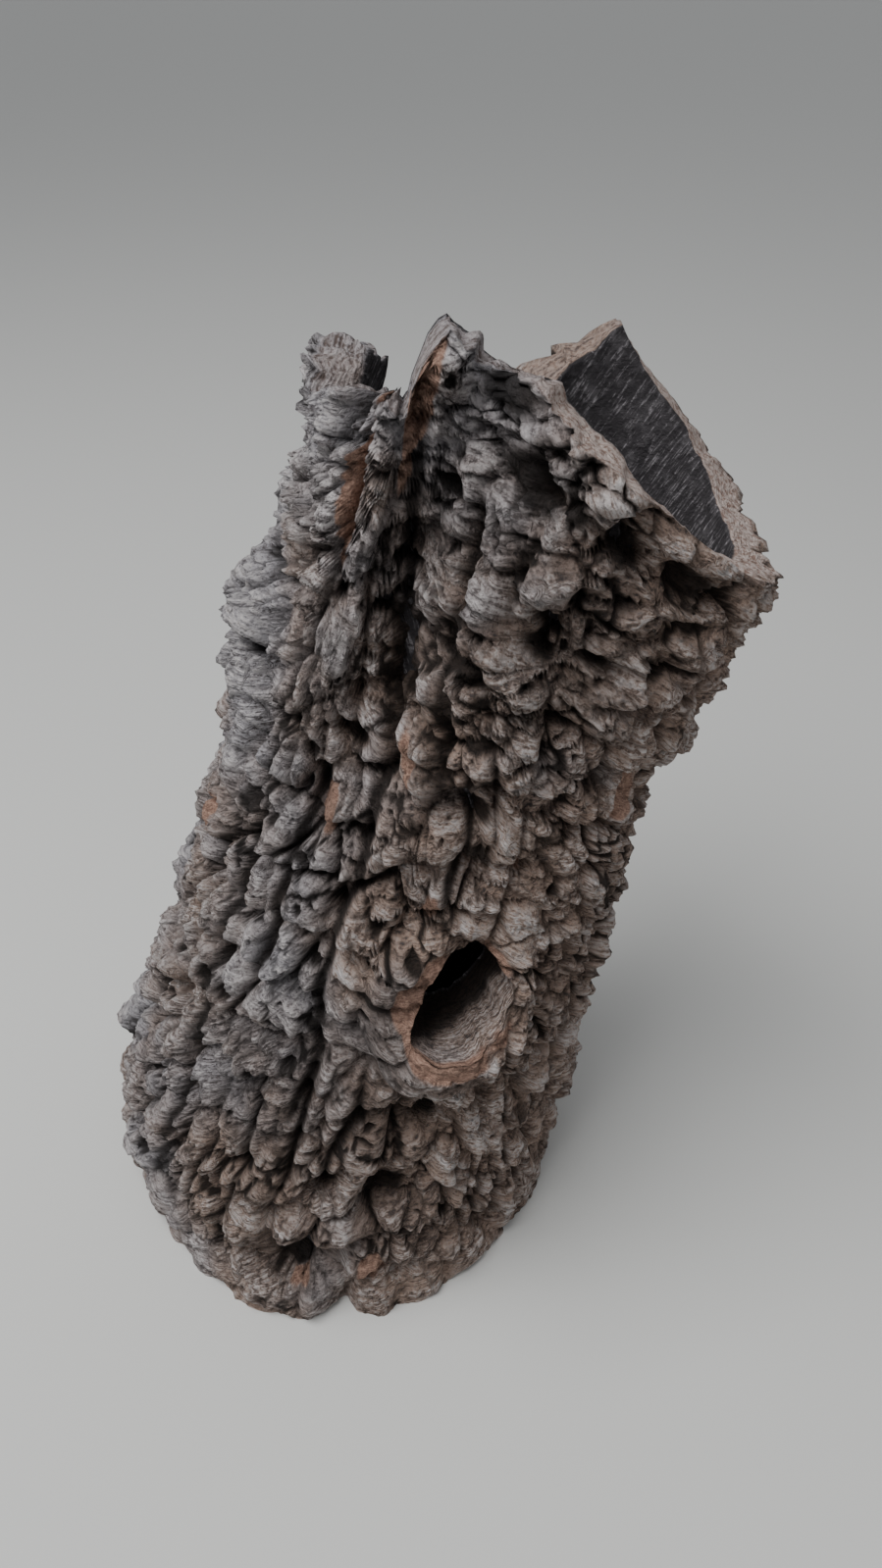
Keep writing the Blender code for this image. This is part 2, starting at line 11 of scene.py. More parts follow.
import bpy
import numpy as np
from bpy.props import FloatProperty, FloatVectorProperty, PointerProperty
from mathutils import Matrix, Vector


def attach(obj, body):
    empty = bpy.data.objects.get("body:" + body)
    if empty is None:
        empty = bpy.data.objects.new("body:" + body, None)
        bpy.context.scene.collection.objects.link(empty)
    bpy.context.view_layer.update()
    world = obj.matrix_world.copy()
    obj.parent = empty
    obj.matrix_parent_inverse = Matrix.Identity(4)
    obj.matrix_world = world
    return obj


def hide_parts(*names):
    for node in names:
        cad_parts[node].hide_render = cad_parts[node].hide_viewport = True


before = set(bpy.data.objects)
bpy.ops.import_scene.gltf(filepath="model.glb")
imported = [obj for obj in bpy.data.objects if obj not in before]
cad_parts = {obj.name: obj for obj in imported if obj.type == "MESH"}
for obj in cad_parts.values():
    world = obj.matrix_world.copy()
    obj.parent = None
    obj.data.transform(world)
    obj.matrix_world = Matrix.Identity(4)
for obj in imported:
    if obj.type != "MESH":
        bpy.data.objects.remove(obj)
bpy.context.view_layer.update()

bl_info = {
    "name": "Cork Branch",
    "version": (1, 0, 0),
    "blender": (4, 5, 0),
    "location": "View3D > Sidebar > Cork",
    "description": "Builds a forked tube of virgin cork bark with its furrows, knot hole and broken rims",
    "category": "Object",
}

# Overall form. Each station is a tilted oval: the ends of its long axis, its half depth front to back, how
# far its centre stands back, and how square the oval is (2 is an ellipse, less is nearer a diamond).
STATIONS = np.array([
    # rise  left x  left z right x right z half depth  back  squareness
    (0.00, -0.112, 0.000, 0.119, 0.000, 0.118, -0.003, 1.85),
    (0.12, -0.112, 0.045, 0.123, 0.045, 0.114, -0.002, 1.92),
    (0.30, -0.091, 0.118, 0.128, 0.110, 0.104, 0.000, 2.05),
    (0.48, -0.061, 0.200, 0.139, 0.175, 0.094, 0.003, 2.15),
    (0.64, -0.034, 0.275, 0.148, 0.225, 0.087, 0.005, 2.20),
    (0.78, -0.014, 0.335, 0.157, 0.265, 0.083, 0.008, 2.20),
    (0.90, 0.009, 0.410, 0.180, 0.305, 0.082, 0.013, 2.20),
    (1.00, 0.034, 0.492, 0.197, 0.348, 0.084, 0.020, 2.20),
])
MM = 0.001
FOOTPRINT_MIDDLE = (0.0391, -0.0045)
STEM_LENGTH = 0.43          # mean length of bark from the base to the saw cut
RIDGES = 32                 # lengthwise ridges round the bark
RIDGE_WIDTH = 0.021         # mean width of one ridge
GIRTH = RIDGES * RIDGE_WIDTH
PINCH_AT = -0.47            # where the crease between the limbs lies, as a share of the half width
PINCH_WIDTH = 0.17
PINCH_SHARE = 0.34          # how much of the depth the crease takes at the top
PINCH_INSIDE = 2.0          # how much wider the crease is on the inner face
CREASE_RISE = (0.0, 0.55, 0.62, 0.70, 0.84, 0.90, 0.957, 0.978, 0.992, 1.0)
CREASE_TURN = (0.6, 1.30, 1.30, 1.05, -0.10, -0.45, -0.70, -0.72, -0.40, -0.30)    # drift of its ridge line
CREASE_SPREAD = (3.6, 4.2)  # how many ridges to its left and right drift with it
CREASE_FROM = 0.5           # rise at which the crease begins, and over which it deepens
CREASE_OVER = 0.4
WANDER = 0.40               # how far the ridge lines wander, in ridges
FOOT_FLARE = 0.05           # how much further forward the foot stands
FOOT_NOTCH_AT = 0.05        # the notch between the two front lobes of the foot
FOOT_NOTCH_WIDTH = 0.08
FOOT_NOTCH_SHARE = 0.10
FOOT_RISE = 0.09            # rise over which the foot's lobes fade

# Wall
WALL_RISE = (0.0, 0.5, 0.8, 1.0)
WALL_THICKNESS = (0.019, 0.017, 0.014, 0.013)
RIM_THICKENING = 0.005      # how much thicker the wall is at the rims
FLUTES = ((0.0008, 0.020, 101, 2.0), (0.00045, 0.0035, 105, 7.0))       # height, width, seed, stretch
RIM_RAGS = ((0.0034, 0.016, 211, 3), (0.0012, 0.004, 215, 1))           # height, width, seed, octaves
SAWN_EVENNESS = 0.75        # how much less ragged a sawn rim is
SAW_BLEND = 0.6             # ridges over which the rim changes from torn to sawn
RIM_WIDTH = 0.013
RIM_GRAIN = 0.0045          # size of the grain on it

# Fork and rims, as rise by ridge
SPLIT_RIDGE = (0, 4, 8, 11, 13, 16, 19, 21, 22.5, 25, 28, 32)
SPLIT_RISE = (0.66, 0.69, 0.75, 0.79, 0.75, 0.71, 0.80, 0.925, 0.87, 0.77, 0.69, 0.66)
LEFT_LIMB = (11, 21)
RIGHT_LIMB = (21, 43)
LEFT_RIM_RIDGE = (11, 12.6, 13.2, 13.5, 16.0, 16.6, 17.7, 19.6, 20.2, 21)
LEFT_RIM_RISE = (0.82, 0.86, 0.885, 0.925, 0.925, 0.905, 0.920, 0.940, 0.948, 0.955)
RIGHT_RIM_RIDGE = (21, 21.3, 21.7, 22.1, 22.7, 23.6, 24.6, 26, 30, 32, 34, 36, 38, 39, 40.2, 41.2, 42.2, 43)
RIGHT_RIM_RISE = (
    0.962, 0.990, 0.989, 0.985, 0.986, 0.995, 1.000, 0.999, 1.0, 1.0, 1.008, 1.015, 1.02, 1.02, 0.955, 0.90,
    0.85, 0.82)
SAW_CUT = (22.8, 39.2)      # ridges between which the right limb's rim is sawn and not torn

# Broad swellings and hollows: ridge, rise, half width, half length and height in mm (negative if hollow)
LANDMARKS = (
    (16.6, 0.745, 22, 28, 11),          # plate that steps out on the left below the limb
    (16.9, 0.600, 18, 22, 4.5),         # second step on the left
    (15.5, 0.155, 30, 30, 6),           # bulge at the lower left
    (20.1, 0.590, 18, 15, 5.5),         # round lumps left of the middle
    (20.8, 0.290, 20, 10, 5),
    (22.8, 0.873, 20, 10, 6.5),         # blue-grey lump below the fork
    (23.9, 0.812, 24, 20, 8),           # boss in the middle of the front
    (22.4, 0.687, 18, 13, 5),
    (22.5, 0.532, 22, 13, 9),           # brow at the upper left of the knot hole
    (27.3, 0.520, 20, 18, -4),          # hollow to the right of the knot hole
    (23.7, 0.735, 13, 9, -12),          # dark gaps above the knot hole
    (23.9, 0.680, 14, 10, -8),
    (24.9, 0.318, 16, 8, -12),          # shadow under the collar
    (24.5, 0.205, 12, 12, -14),         # pits above the foot
    (22.9, 0.225, 10, 8, -10),
    (22.8, 0.155, 20, 9, 8),            # brow over the recess in the foot
    (22.75, 0.098, 21, 13, -23),        # recess in the foot
    (22.0, 0.020, 20, 16, 3),           # left lobe of the foot
    (27.6, 0.085, 12, 10, -10),
    (28.5, 0.760, 30, 22, -4),          # smooth fold under the right limb
    (31.0, 0.800, 30, 20, 5),           # shoulder under the limb's tip
    (5.0, 0.420, 28, 40, 6),            # swelling on the back
    (10.2, 0.250, 24, 30, 5),           # swelling low on the back
    (8.6, 0.560, 14, 30, -6),           # long crease on the back
)

# Smaller ones, in the same form
SMALL_MARKS = (
    (23.4, 0.957, 12, 5.5, -13), (22.7, 0.985, 12, 6, -9), (24.3, 0.965, 8, 5, -10),
    (25.3, 0.967, 11, 6, -11), (26.9, 0.972, 14, 5, -10), (24.35, 0.905, 6, 3, -13),
    (25.3, 0.916, 3.5, 3.5, -11), (24.4, 0.886, 11, 3.5, -11), (25.7, 0.897, 12, 3.5, -9),
    (22.85, 0.905, 3.5, 12, -10), (23.3, 0.905, 11, 17, 5), (23.7, 0.920, 4, 11, -8),
    (24.0, 0.925, 14, 4.5, 6), (23.1, 0.852, 16, 3.5, -13), (21.3, 0.925, 6, 14, -8),
    (22.1, 0.815, 7, 7, -10), (19.45, 0.815, 4, 9, -12), (20.8, 0.745, 10, 3.5, -13),
    (20.05, 0.688, 5.5, 11, -13), (24.05, 0.770, 9, 5, -10), (25.3, 0.672, 5, 4.5, -9),
    (27.3, 0.795, 10, 8, -10), (22.6, 0.500, 20, 3.5, -9), (21.2, 0.470, 8, 4.5, -9),
    (19.0, 0.465, 3.5, 3.5, -10), (16.9, 0.300, 12, 4.5, -10), (20.9, 0.365, 18, 7, 4),
    (20.9, 0.335, 18, 6, 4), (21.1, 0.351, 16, 2.2, -6), (25.3, 0.060, 5, 4, -7),
    (20.7, 0.640, 14, 11, 3.5), (21.6, 0.622, 14, 10, 3.5), (19.6, 0.680, 3, 4, -9),
)

UNDER_LIMB = (29.3, 0.83, 70, 60)       # smooth bark under the tip of the right limb

# Long grooves: depth, half width in metres, and the ridge they follow by rise
GROOVES = (
    (0.0060, 0.0032, (0.30, 0.40, 0.47, 0.58, 0.63, 0.705, 0.755, 0.82, 0.86, 0.90, 0.93, 0.96),
     (21.6, 21.8, 21.2, 21.1, 21.3, 21.4, 21.9, 21.8, 21.85, 21.7, 21.6, 21.35)),
    (0.0055, 0.0030, (0.45, 0.555, 0.62, 0.69, 0.723, 0.81, 0.87, 0.95),
     (19.9, 19.8, 19.7, 20.05, 19.6, 19.5, 20.0, 20.0)),
    (0.0050, 0.0028, (0.10, 0.444, 0.55, 0.68, 0.81), (18.9, 18.9, 18.7, 18.65, 19.2)),
    (0.0055, 0.0028, (0.60, 0.68, 0.735, 0.77, 0.83, 0.905, 0.955),
     (23.3, 23.4, 23.6, 23.05, 22.9, 22.85, 22.9)),
    (0.0045, 0.0028, (0.56, 0.70, 0.80, 0.86), (24.9, 25.0, 25.1, 25.1)),
)
GROOVE_FADE = 0.03          # rise over which a groove fades in and out

# Fresh breaks: ridge, rise, half width and half length in mm
FRESH_BREAKS = (
    (17.3, 0.576, 6, 12),
    (20.35, 0.660, 5, 11),
    (22.35, 0.757, 4.8, 16),
    (24.60, 0.080, 11, 10),
    (23.0, 0.610, 4, 8),
    (19.92, 0.905, 5.5, 26),
    (22.72, 0.060, 6, 4),
    (21.30, 0.950, 6, 22),
    (25.2, 0.668, 5, 4),
    (28.4, 0.760, 10, 12),
    (6.0, 0.610, 5, 11),
    (12.5, 0.330, 6, 9),
)

# Stained bark: ridge, rise, half width and half length in mm, strength
STAINS = (
    (24.6, 0.900, 55, 40, 0.55),        # upper front
    (22.9, 0.470, 26, 32, 0.95),        # left of the knot hole
    (23.3, 0.130, 70, 50, 0.50),        # foot
    (22.0, 0.350, 70, 65, 0.55),        # between them
)

# Knot hole: the hollow stub of a side branch
KNOT_RIDGE = 24.50
KNOT_RISE = 0.512
KNOT_HALF_WIDTH = 0.0175
KNOT_HALF_HEIGHT = 0.0235
KNOT_THROAT = 0.80
MOUTH_WAVES = ((0.10, 2, 0.6), (0.06, 3, 2.0), (0.05, 5, 1.0), (0.03, 9, 0.0))      # share, waves, phase
MOUTH_SIZE = 0.90           # how much the broken lip narrows the mouth
COLLAR_MEAN = 0.0170        # how far the collar stands out
COLLAR_LIP = 0.0150         # how much further at its lower lip
COLLAR_FLAT = 0.0080        # width of the broken lip
COLLAR_REACH = 0.0210       # mean distance from the lip at which the collar has faded
COLLAR_LEAN = 0.35          # how much further it reaches at its lower left, and less at its upper right
LIP_WIDTH = 0.0004          # least width of the fresh break on the lip
LIP_WIDTH_LOWER_LEFT = 0.0036

# Relief. Sizes are in metres.
RELIEF_MIDDLE = 0.0064      # mean height, taken off so that the lumps straddle the mean face
ROOM_FROM = 0.45            # share of a ridge's mean width from which it has columns and lumps
ROOM_OVER = 0.45
SHATTERED_FROM = 0.76       # shattered bark of the upper front: its lowest rise, middle ridge and reach
SHATTERED_OVER = 0.12
SHATTERED_AT = 24.2
SHATTERED_SPREAD = 3.0
SHIFT_SIZE = 0.014          # size of the noise that makes edges and spots ragged
COLUMN_BEND = 0.0056        # how far columns and lumps bend
BEND_SIZE = 0.034
CREST_HEIGHT = 0.0020       # how far the middle of a column stands out
LUMP_WIDTH = 0.0295
LUMP_HEIGHT = 0.0068
LUMP_STEP = 0.0030          # how far one lump lies before or behind the mean
LUMP_TILT = 0.0062          # how far its lower end stands out
LUMP_HANG = 0.0026          # how far its lower end hangs down
SQUEEZED_HEIGHT = 0.0044    # height in place of the lumps where the ridges are squeezed together
CHUNK_SHIFT = 0.0024        # how far the edges of the chunks wander
CHUNK_HANG = 0.0008
CHUNK_MIDDLE = 0.0010       # what the chunks' cracks take from the mean height
CHUNKS = (
    # size, seed, step, overhang, lean, depth of the cracks, their width and painted shade, noise that opens
    # them
    (0.0300, 141, 0.0022, 0.0000, 0.0042, 0.0035, 0.12, 0.8, None),
    (0.0170, 71, 0.0009, 0.0011, 0.0030, 0.0026, 0.16, 0.9, (0.022, 331)),
    (0.0078, 121, 0.0005, 0.0007, 0.0000, 0.0012, 0.20, 0.6, (0.012, 335)),
)
CRAGS = ((0.0016, 0.0300, 351), (0.0012, 0.0140, 353), (0.0009, 0.0068, 357))       # height, size, seed
WRINKLE_HEIGHT = 0.0010
WRINKLE_SIZE = 0.024
PIT_SPACING = 0.0150
PIT_RADIUS = 0.0018         # radius of the smallest insect pit
PIT_RADIUS_RANGE = 0.0030
PIT_DEPTH = 0.0022          # its least depth
FRESH_DEPTH = 0.0012
SHADED_FROM = 7               # depth in mm from which a hollow gets painted shade at its bottom
BLACK_SHADE_FROM = 11             # depth in mm from which that painted shade is black

# Mesh
FRONT_COLUMNS = 15          # columns to a ridge on the front half
BACK_COLUMNS = 9
TRUNK_ROWS = 200
LINING_ROWS = (9, 11)       # rows of the lining above and below the knot hole
BASE_ROWS = 2
LIMB_ROWS = 96
RIM_ROWS = 7
KNOT_BLOCK = (13, 13)       # half the columns and half the rows that the knot hole interrupts
LINING_BLOCK_HALF = 0.055   # half the block's height in the lining, as a share of the trunk's height
KNOT_ROWS = 26              # rows of the mesh through the wall, in the knot hole
KNOT_SPREAD = 3.0           # blocks out from the hole at which the mesh is straight again
CHART_SEAM = 8              # ridge at which the chart of the bark begins and ends
FLOOR_SIDE = 60.0
NOT_SAWN = (99.0, 99.0)

# Noise
FAR = 1 << 40               # a wrap that is never reached
LUMP_MARGIN = 0.05          # how near the centre of a cell may come to the sides of its square
CHUNK_MARGIN = 0.10
CUBE_STRIDE = 7919          # tells the cubes of one layer of space from those of the next
STEM_AXIS = np.array((0.34, 0.0, 0.94))     # mean direction of growth

# The camera of the photograph
PHOTO_CAMERA = (0.0196, -0.4515, 0.57)
PHOTO_PITCH = math.radians(36.0)
PHOTO_FOCAL_PIXELS = 1230
PHOTO_HEIGHT_PIXELS = 1599


def smooth(x):
    """Ramp from 0 to 1 with level ends: 3 x squared less 2 x cubed."""
    x = np.clip(x, 0.0, 1.0)
    return x * x * (3.0 - 2.0 * x)


def scattered(i, j, seed):
    """Repeatable number from 0 to 1 for each pair of whole numbers, by mixing their bits."""
    n = i.astype(np.int64) * 374761393 + j.astype(np.int64) * 668265263 + seed * 1442695041
    n = (n ^ (n >> 13)) & 0xFFFFFFFF
    n = (n * 1274126177) & 0xFFFFFFFF
    return ((n ^ (n >> 16)) & 0xFFFFFF) / float(0x1000000)


def scattered_in(square, seed, wrap=None):
    """Repeatable number from 0 to 1 for each square or cube, repeated every wrap along the first axis."""
    first = np.mod(square[..., 0], wrap) if wrap else square[..., 0]
    if square.shape[-1] == 3:
        first = first + CUBE_STRIDE * square[..., 2]
    return scattered(first, square[..., 1], seed)


def soft_noise(scaled, seed, wrap=None):
    """Smooth noise from -1 to 1 in the plane or in space: scattered numbers on whole places, eased between."""
    corner = np.floor(scaled)
    share = smooth(scaled - corner)
    value = 0.0
    for step in itertools.product((0, 1), repeat=scaled.shape[-1]):
        part = np.prod(np.where(step, share, 1 - share), axis=-1)
        value = value + part * scattered_in(corner + step, seed, wrap)
    return 2 * value - 1


def bark_noise(across, along, cell, seed, octaves=1, stretch=1.0):
    """Noise over the bark with features of a given size, seamless round the stem, in halving octaves."""
    total = 0.0
    for octave in range(octaves):
        wrap = max(1, round(GIRTH / cell * 2 ** octave))
        scaled = np.mod(across / GIRTH, 1.0) * wrap, along / (cell * stretch) * 2 ** octave
        noise = soft_noise(np.stack(np.broadcast_arrays(*scaled), axis=-1), seed + octave, wrap)
        total = total + 0.5 ** octave * noise
    return total


def solid_noise(place, size, seed, octaves=1):
    """Noise in space with features of a given size, in halving octaves."""
    return sum(0.5 ** k * soft_noise(place * (2 ** k / size), seed + k) for k in range(octaves))


def cells(scaled, seed, margin, wrap=None):
    """Cells in the plane or in space about scattered centres, one to each square or cube of side 1.

    Returns the distance to the second nearest centre less that to the nearest, which is 0 on an edge; the
    cell's own random number; and the place relative to its centre. Centres keep a margin from the sides.
    """
    square = np.floor(scaled)
    nearest = np.full(scaled.shape[:-1], 9.0)
    second = np.full(scaled.shape[:-1], 9.0)
    own, apart = np.zeros(scaled.shape[:-1]), np.zeros(scaled.shape)
    axes = scaled.shape[-1]
    for step in itertools.product((-1, 0, 1), repeat=axes):
        near = square + step
        centre = np.stack([scattered_in(near, seed + axis, wrap) for axis in range(axes)], axis=-1)
        gap = scaled - near - margin - (1 - 2 * margin) * centre
        distance = np.linalg.norm(gap, axis=-1)
        closer = distance < nearest
        second = np.where(closer, nearest, np.minimum(second, distance))
        nearest = np.where(closer, distance, nearest)
        own = np.where(closer, scattered_in(near, seed + axes, wrap), own)
        apart = np.where(closer[..., None], gap, apart)
    return second - nearest, own, apart


def station(rise, column):
    """One column of STATIONS at any rise: a cubic curve through the stations with mean slopes."""
    knots, values = STATIONS[:, 0], STATIONS[:, column]
    slopes = np.gradient(values, knots)
    i = np.clip(np.searchsorted(knots, rise, side="right") - 1, 0, len(knots) - 2)
    gap = knots[i + 1] - knots[i]
    t = (rise - knots[i]) / gap
    start = (1 + 2 * t) * (1 - t) ** 2 * values[i] + t * (1 - t) ** 2 * gap * slopes[i]
    end = t * t * (3 - 2 * t) * values[i + 1] + t * t * (t - 1) * gap * slopes[i + 1]
    return start + end


def bearing(ridge, rise):
    """Angle round the stem of a ridge line, which wanders as it climbs and follows the front crease."""
    turn = np.mod(ridge, RIDGES)
    wander = WANDER * np.sin(2 * math.pi * turn / RIDGES * 5 + 9.0 * rise) * np.sin(math.pi * rise * 1.7)
    spread = np.where(turn < LEFT_LIMB[1], CREASE_SPREAD[0], CREASE_SPREAD[1])
    near = np.exp(-(((turn - LEFT_LIMB[1]) / spread) ** 2))
    drift = np.interp(rise, CREASE_RISE, CREASE_TURN)
    return 2 * math.pi * (ridge + wander * (1 - near) + drift * near) / RIDGES


def mean_face(ridge, rise, crease_width=PINCH_WIDTH):
    """The outer face without its relief: a tilted oval at each rise, creased between the two limbs."""
    angle = bearing(ridge, rise)
    left_x, left_z, right_x, right_z, depth, back, square = (station(rise, c) for c in range(1, 8))
    across, away = np.cos(angle), np.sin(angle)
    across = np.sign(across) * np.abs(across) ** (2 / square)
    away = np.sign(away) * np.abs(away) ** (2 / square)
    crease = smooth((rise - CREASE_FROM) / CREASE_OVER) * np.exp(-(((across - PINCH_AT) / crease_width) ** 2))
    foot = np.exp(-((rise / FOOT_RISE) ** 2)) * (away < 0)
    notch = foot * np.exp(-(((across - FOOT_NOTCH_AT) / FOOT_NOTCH_WIDTH) ** 2))
    away = away * (1 - PINCH_SHARE * crease) * (1 - FOOT_NOTCH_SHARE * notch + FOOT_FLARE * foot)
    x = (left_x + right_x) / 2 + (right_x - left_x) / 2 * across - FOOTPRINT_MIDDLE[0]
    z = (left_z + right_z) / 2 + (right_z - left_z) / 2 * across
    return np.stack([x, back + depth * away - FOOTPRINT_MIDDLE[1], z], axis=-1)


def unit(vectors):
    """The same directions with length 1."""
    return vectors / np.maximum(np.linalg.norm(vectors, axis=-1, keepdims=True), 1e-12)


def directions(ridge, rise):
    """Outward normal and upward tangent of the softly creased face, from its slopes both ways."""
    step_ridge, step_rise = 0.25, 0.01
    low, high = np.clip(rise - step_rise, 0, None), rise + step_rise
    soft = PINCH_WIDTH * PINCH_INSIDE
    round_it = mean_face(ridge + step_ridge, rise, soft) - mean_face(ridge - step_ridge, rise, soft)
    up_it = mean_face(ridge, high, soft) - mean_face(ridge, low, soft)
    normal = np.cross(round_it, up_it)
    normal[..., 2] *= smooth(rise / 0.06)
    return unit(normal), unit(up_it)


def ridge_room(ridge, rise):
    """Width of a ridge where it lies, as a share of RIDGE_WIDTH. It is small where the crease squeezes them."""
    step = 0.25
    across = mean_face(ridge + step, rise) - mean_face(ridge - step, rise)
    return np.linalg.norm(across, axis=-1) / (2 * step * RIDGE_WIDTH)


def knot_scale():
    """Half the width of the knot hole's mouth in ridges, and half its height in rise, where the hole is."""
    ridge, rise = np.full(4, KNOT_RIDGE), np.full(4, KNOT_RISE)
    ridge[:2] += (-0.5, 0.5)
    rise[2:] += (-0.05, 0.05)
    left, right, below, above = mean_face(ridge, rise)
    per_ridge = np.linalg.norm(right - left)
    per_rise = np.linalg.norm(above - below) / 0.1
    return KNOT_HALF_WIDTH / per_ridge, KNOT_HALF_HEIGHT / per_rise


def spot(turn, rise, where):
    """Distance from a spot, 1 at its edge. The spot is (ridge, rise, half width in mm, half length in mm)."""
    gap = np.mod(turn - where[0] + RIDGES / 2, RIDGES) - RIDGES / 2
    return np.hypot(gap * RIDGE_WIDTH, (rise - where[1]) * STEM_LENGTH * where[2] / where[3]) / (where[2] * MM)


class Ground:
    """Where points of the bark lie, and what their place does to its relief."""

    def __init__(self, ridge, rise):
        self.turn = np.mod(ridge, RIDGES)
        self.rise = rise
        self.across, self.along = self.turn * RIDGE_WIDTH, rise * STEM_LENGTH
        self.place = mean_face(self.turn, rise)
        self.calm = calm_places(self.turn, rise)
        self.rough = 1 - 0.6 * self.calm
        self.roomy = smooth((ridge_room(self.turn, rise) - ROOM_FROM) / ROOM_OVER)
        above = smooth((rise - SHATTERED_FROM) / SHATTERED_OVER)
        self.shattered = above * np.exp(-((self.turn - SHATTERED_AT) / SHATTERED_SPREAD) ** 4)
        seeds = (300, 310, 320)
        self.shift = np.stack([solid_noise(self.place, SHIFT_SIZE, seed, 3) for seed in seeds], axis=-1)


def columns_and_lumps(at):
    """Columns between wandering fissures, cut into lumps with a domed top and a lower end that stands out.

    Both are flatter where the ridges are squeezed together and where the bark is shattered. Returns the height,
    how far a point hangs downwards, how much painted shade the fissures and cracks get, the place in the growth
    layers, and each lump's own number, its dome and the place above its centre.
    """
    look = bpy.context.scene.cork_bark
    bend_x, bend_y = (COLUMN_BEND * bark_noise(at.across, at.along, BEND_SIZE, seed) for seed in (51, 61))
    around = 2 * math.pi * at.turn / RIDGES
    ring = np.stack([4.1 * np.cos(around) + 17 * at.along, 4.1 * np.sin(around) - 9 * at.along], axis=-1)
    fine = np.stack([at.turn * 1.7, at.along * 60], axis=-1)
    sway = 0.30 * soft_noise(ring, 31, FAR) + 0.14 * soft_noise(fine, 33, FAR) * np.sin(around / 2)
    column = at.turn + bend_x / RIDGE_WIDTH + sway
    from_fissure = 1 - np.abs(2 * (column - np.floor(column)) - 1)
    crest = 1 - (1 - from_fissure) ** 4
    deep = np.clip(0.45 + 1.1 * bark_noise(at.across, at.along, 0.042, 35, 1, 1.6), 0.0, 1.3)
    deep = deep * at.rough * at.roomy * (1 - 0.75 * at.shattered)
    height = CREST_HEIGHT * crest * (1 - 0.75 * at.shattered) - look.fissure_depth * deep * (1 - crest)

    wrap = round(GIRTH / LUMP_WIDTH)
    scaled = np.mod((at.across + bend_x) / GIRTH, 1.0) * wrap, (at.along + bend_y) / look.plate_length
    edge, own, apart = cells(np.stack(scaled, axis=-1), 21, LUMP_MARGIN, wrap)
    aside, above = apart[..., 0], apart[..., 1]
    opened = np.clip(0.35 + 1.1 * bark_noise(at.across, at.along, 0.030, 77), 0.0, 1.0) * at.rough
    crack = (1 - smooth(edge / 0.15)) * opened * at.roomy
    dome = smooth(edge / 0.50) ** 0.6
    domed = LUMP_HEIGHT * dome * (1 - 0.4 * at.calm) * (1 - 0.45 * at.shattered)
    height = height + domed * at.roomy - look.plate_crack * crack
    height = height + (LUMP_STEP * (2 * own - 1) - LUMP_TILT * above) * at.rough * at.roomy
    height = height + SQUEEZED_HEIGHT * (1 - at.roomy)
    hang = LUMP_HANG * smooth(-above / 0.50) * (1 - crack) * dome * at.roomy
    # Painted shade: the fissures between columns and the cracks round the lumps are to be darkened.
    fissure_shade = np.maximum(0.9 * (1 - crest) * np.clip(deep, 0, 1), crack)
    layer = at.along + 0.5 * bend_y + (own - 0.5) * aside * 0.020
    return height, hang, fissure_shade, layer, own, dome, above


def loose_chunks(at):
    """Chunks of three sizes, each at its own height and lean, crags (1 less the size of noise) and wrinkles.

    The largest show where the ridges are squeezed together. Returns the height, how far a point hangs down,
    how much painted shade the cracks get, and the middle size's own numbers and the places relative to its
    centres.
    """
    loose = at.place + CHUNK_SHIFT * at.shift
    loose = loose + (loose @ STEM_AXIS)[..., None] * STEM_AXIS
    flat = loose + 2 * (loose @ STEM_AXIS)[..., None] * STEM_AXIS
    height, dark, found = 0.0, 0.0, []
    for size, seed, step, overhang, lean, depth, width, shade, opened in CHUNKS:
        edge, own, apart = cells(loose / size, seed, CHUNK_MARGIN)
        spread = smooth(0.35 + solid_noise(at.place, *opened)) if opened else 1 - 0.6 * at.roomy
        crack = (1 - smooth(edge / width)) * spread
        level = step * (2 * own - 1) * (1 if opened else 1 - 0.5 * at.roomy)
        towards = own * 40.0
        facet = apart[..., 0] * np.cos(towards) + apart[..., 2] * np.sin(towards)
        height = height + level - overhang * (apart @ STEM_AXIS) - depth * crack
        height = height + (0.35 + 0.65 * at.shattered) * lean * facet
        # Painted shade in the cracks round the chunks.
        dark = np.maximum(dark, shade * crack)
        found.append((own, apart, overhang))
    _, (own, apart, overhang), _ = found
    above = apart @ STEM_AXIS
    height = height + at.shattered * overhang * above
    for tall, *noise in CRAGS:
        height = height + tall * (1 - 2.2 * np.abs(solid_noise(loose, *noise)))
    height = height * (1 + 0.75 * smooth((at.rise - 0.70) / 0.18) * at.rough)
    height = height + WRINKLE_HEIGHT * (1 - 2.4 * np.abs(solid_noise(flat, WRINKLE_SIZE, 361)))
    return height, CHUNK_HANG * smooth(-above / 0.5) * at.rough, dark, own, apart


def insect_pits(at):
    """Round pits over the bark, each of its own size. Returns their depth and how far in one a point is."""
    _, own, apart = cells(at.place / PIT_SPACING, 91, CHUNK_MARGIN)
    radius = PIT_RADIUS + PIT_RADIUS_RANGE * np.mod(own * 7.3, 1.0)
    gap = np.linalg.norm(apart, axis=-1) * PIT_SPACING + 0.0008 * solid_noise(at.place, 0.0040, 81, 2)
    pit = (own > 0.30) * (1 - smooth((gap / radius - 0.55) / 0.6)) * (1 - 0.7 * at.calm)
    return (PIT_DEPTH + 1.2 * radius) * pit, pit


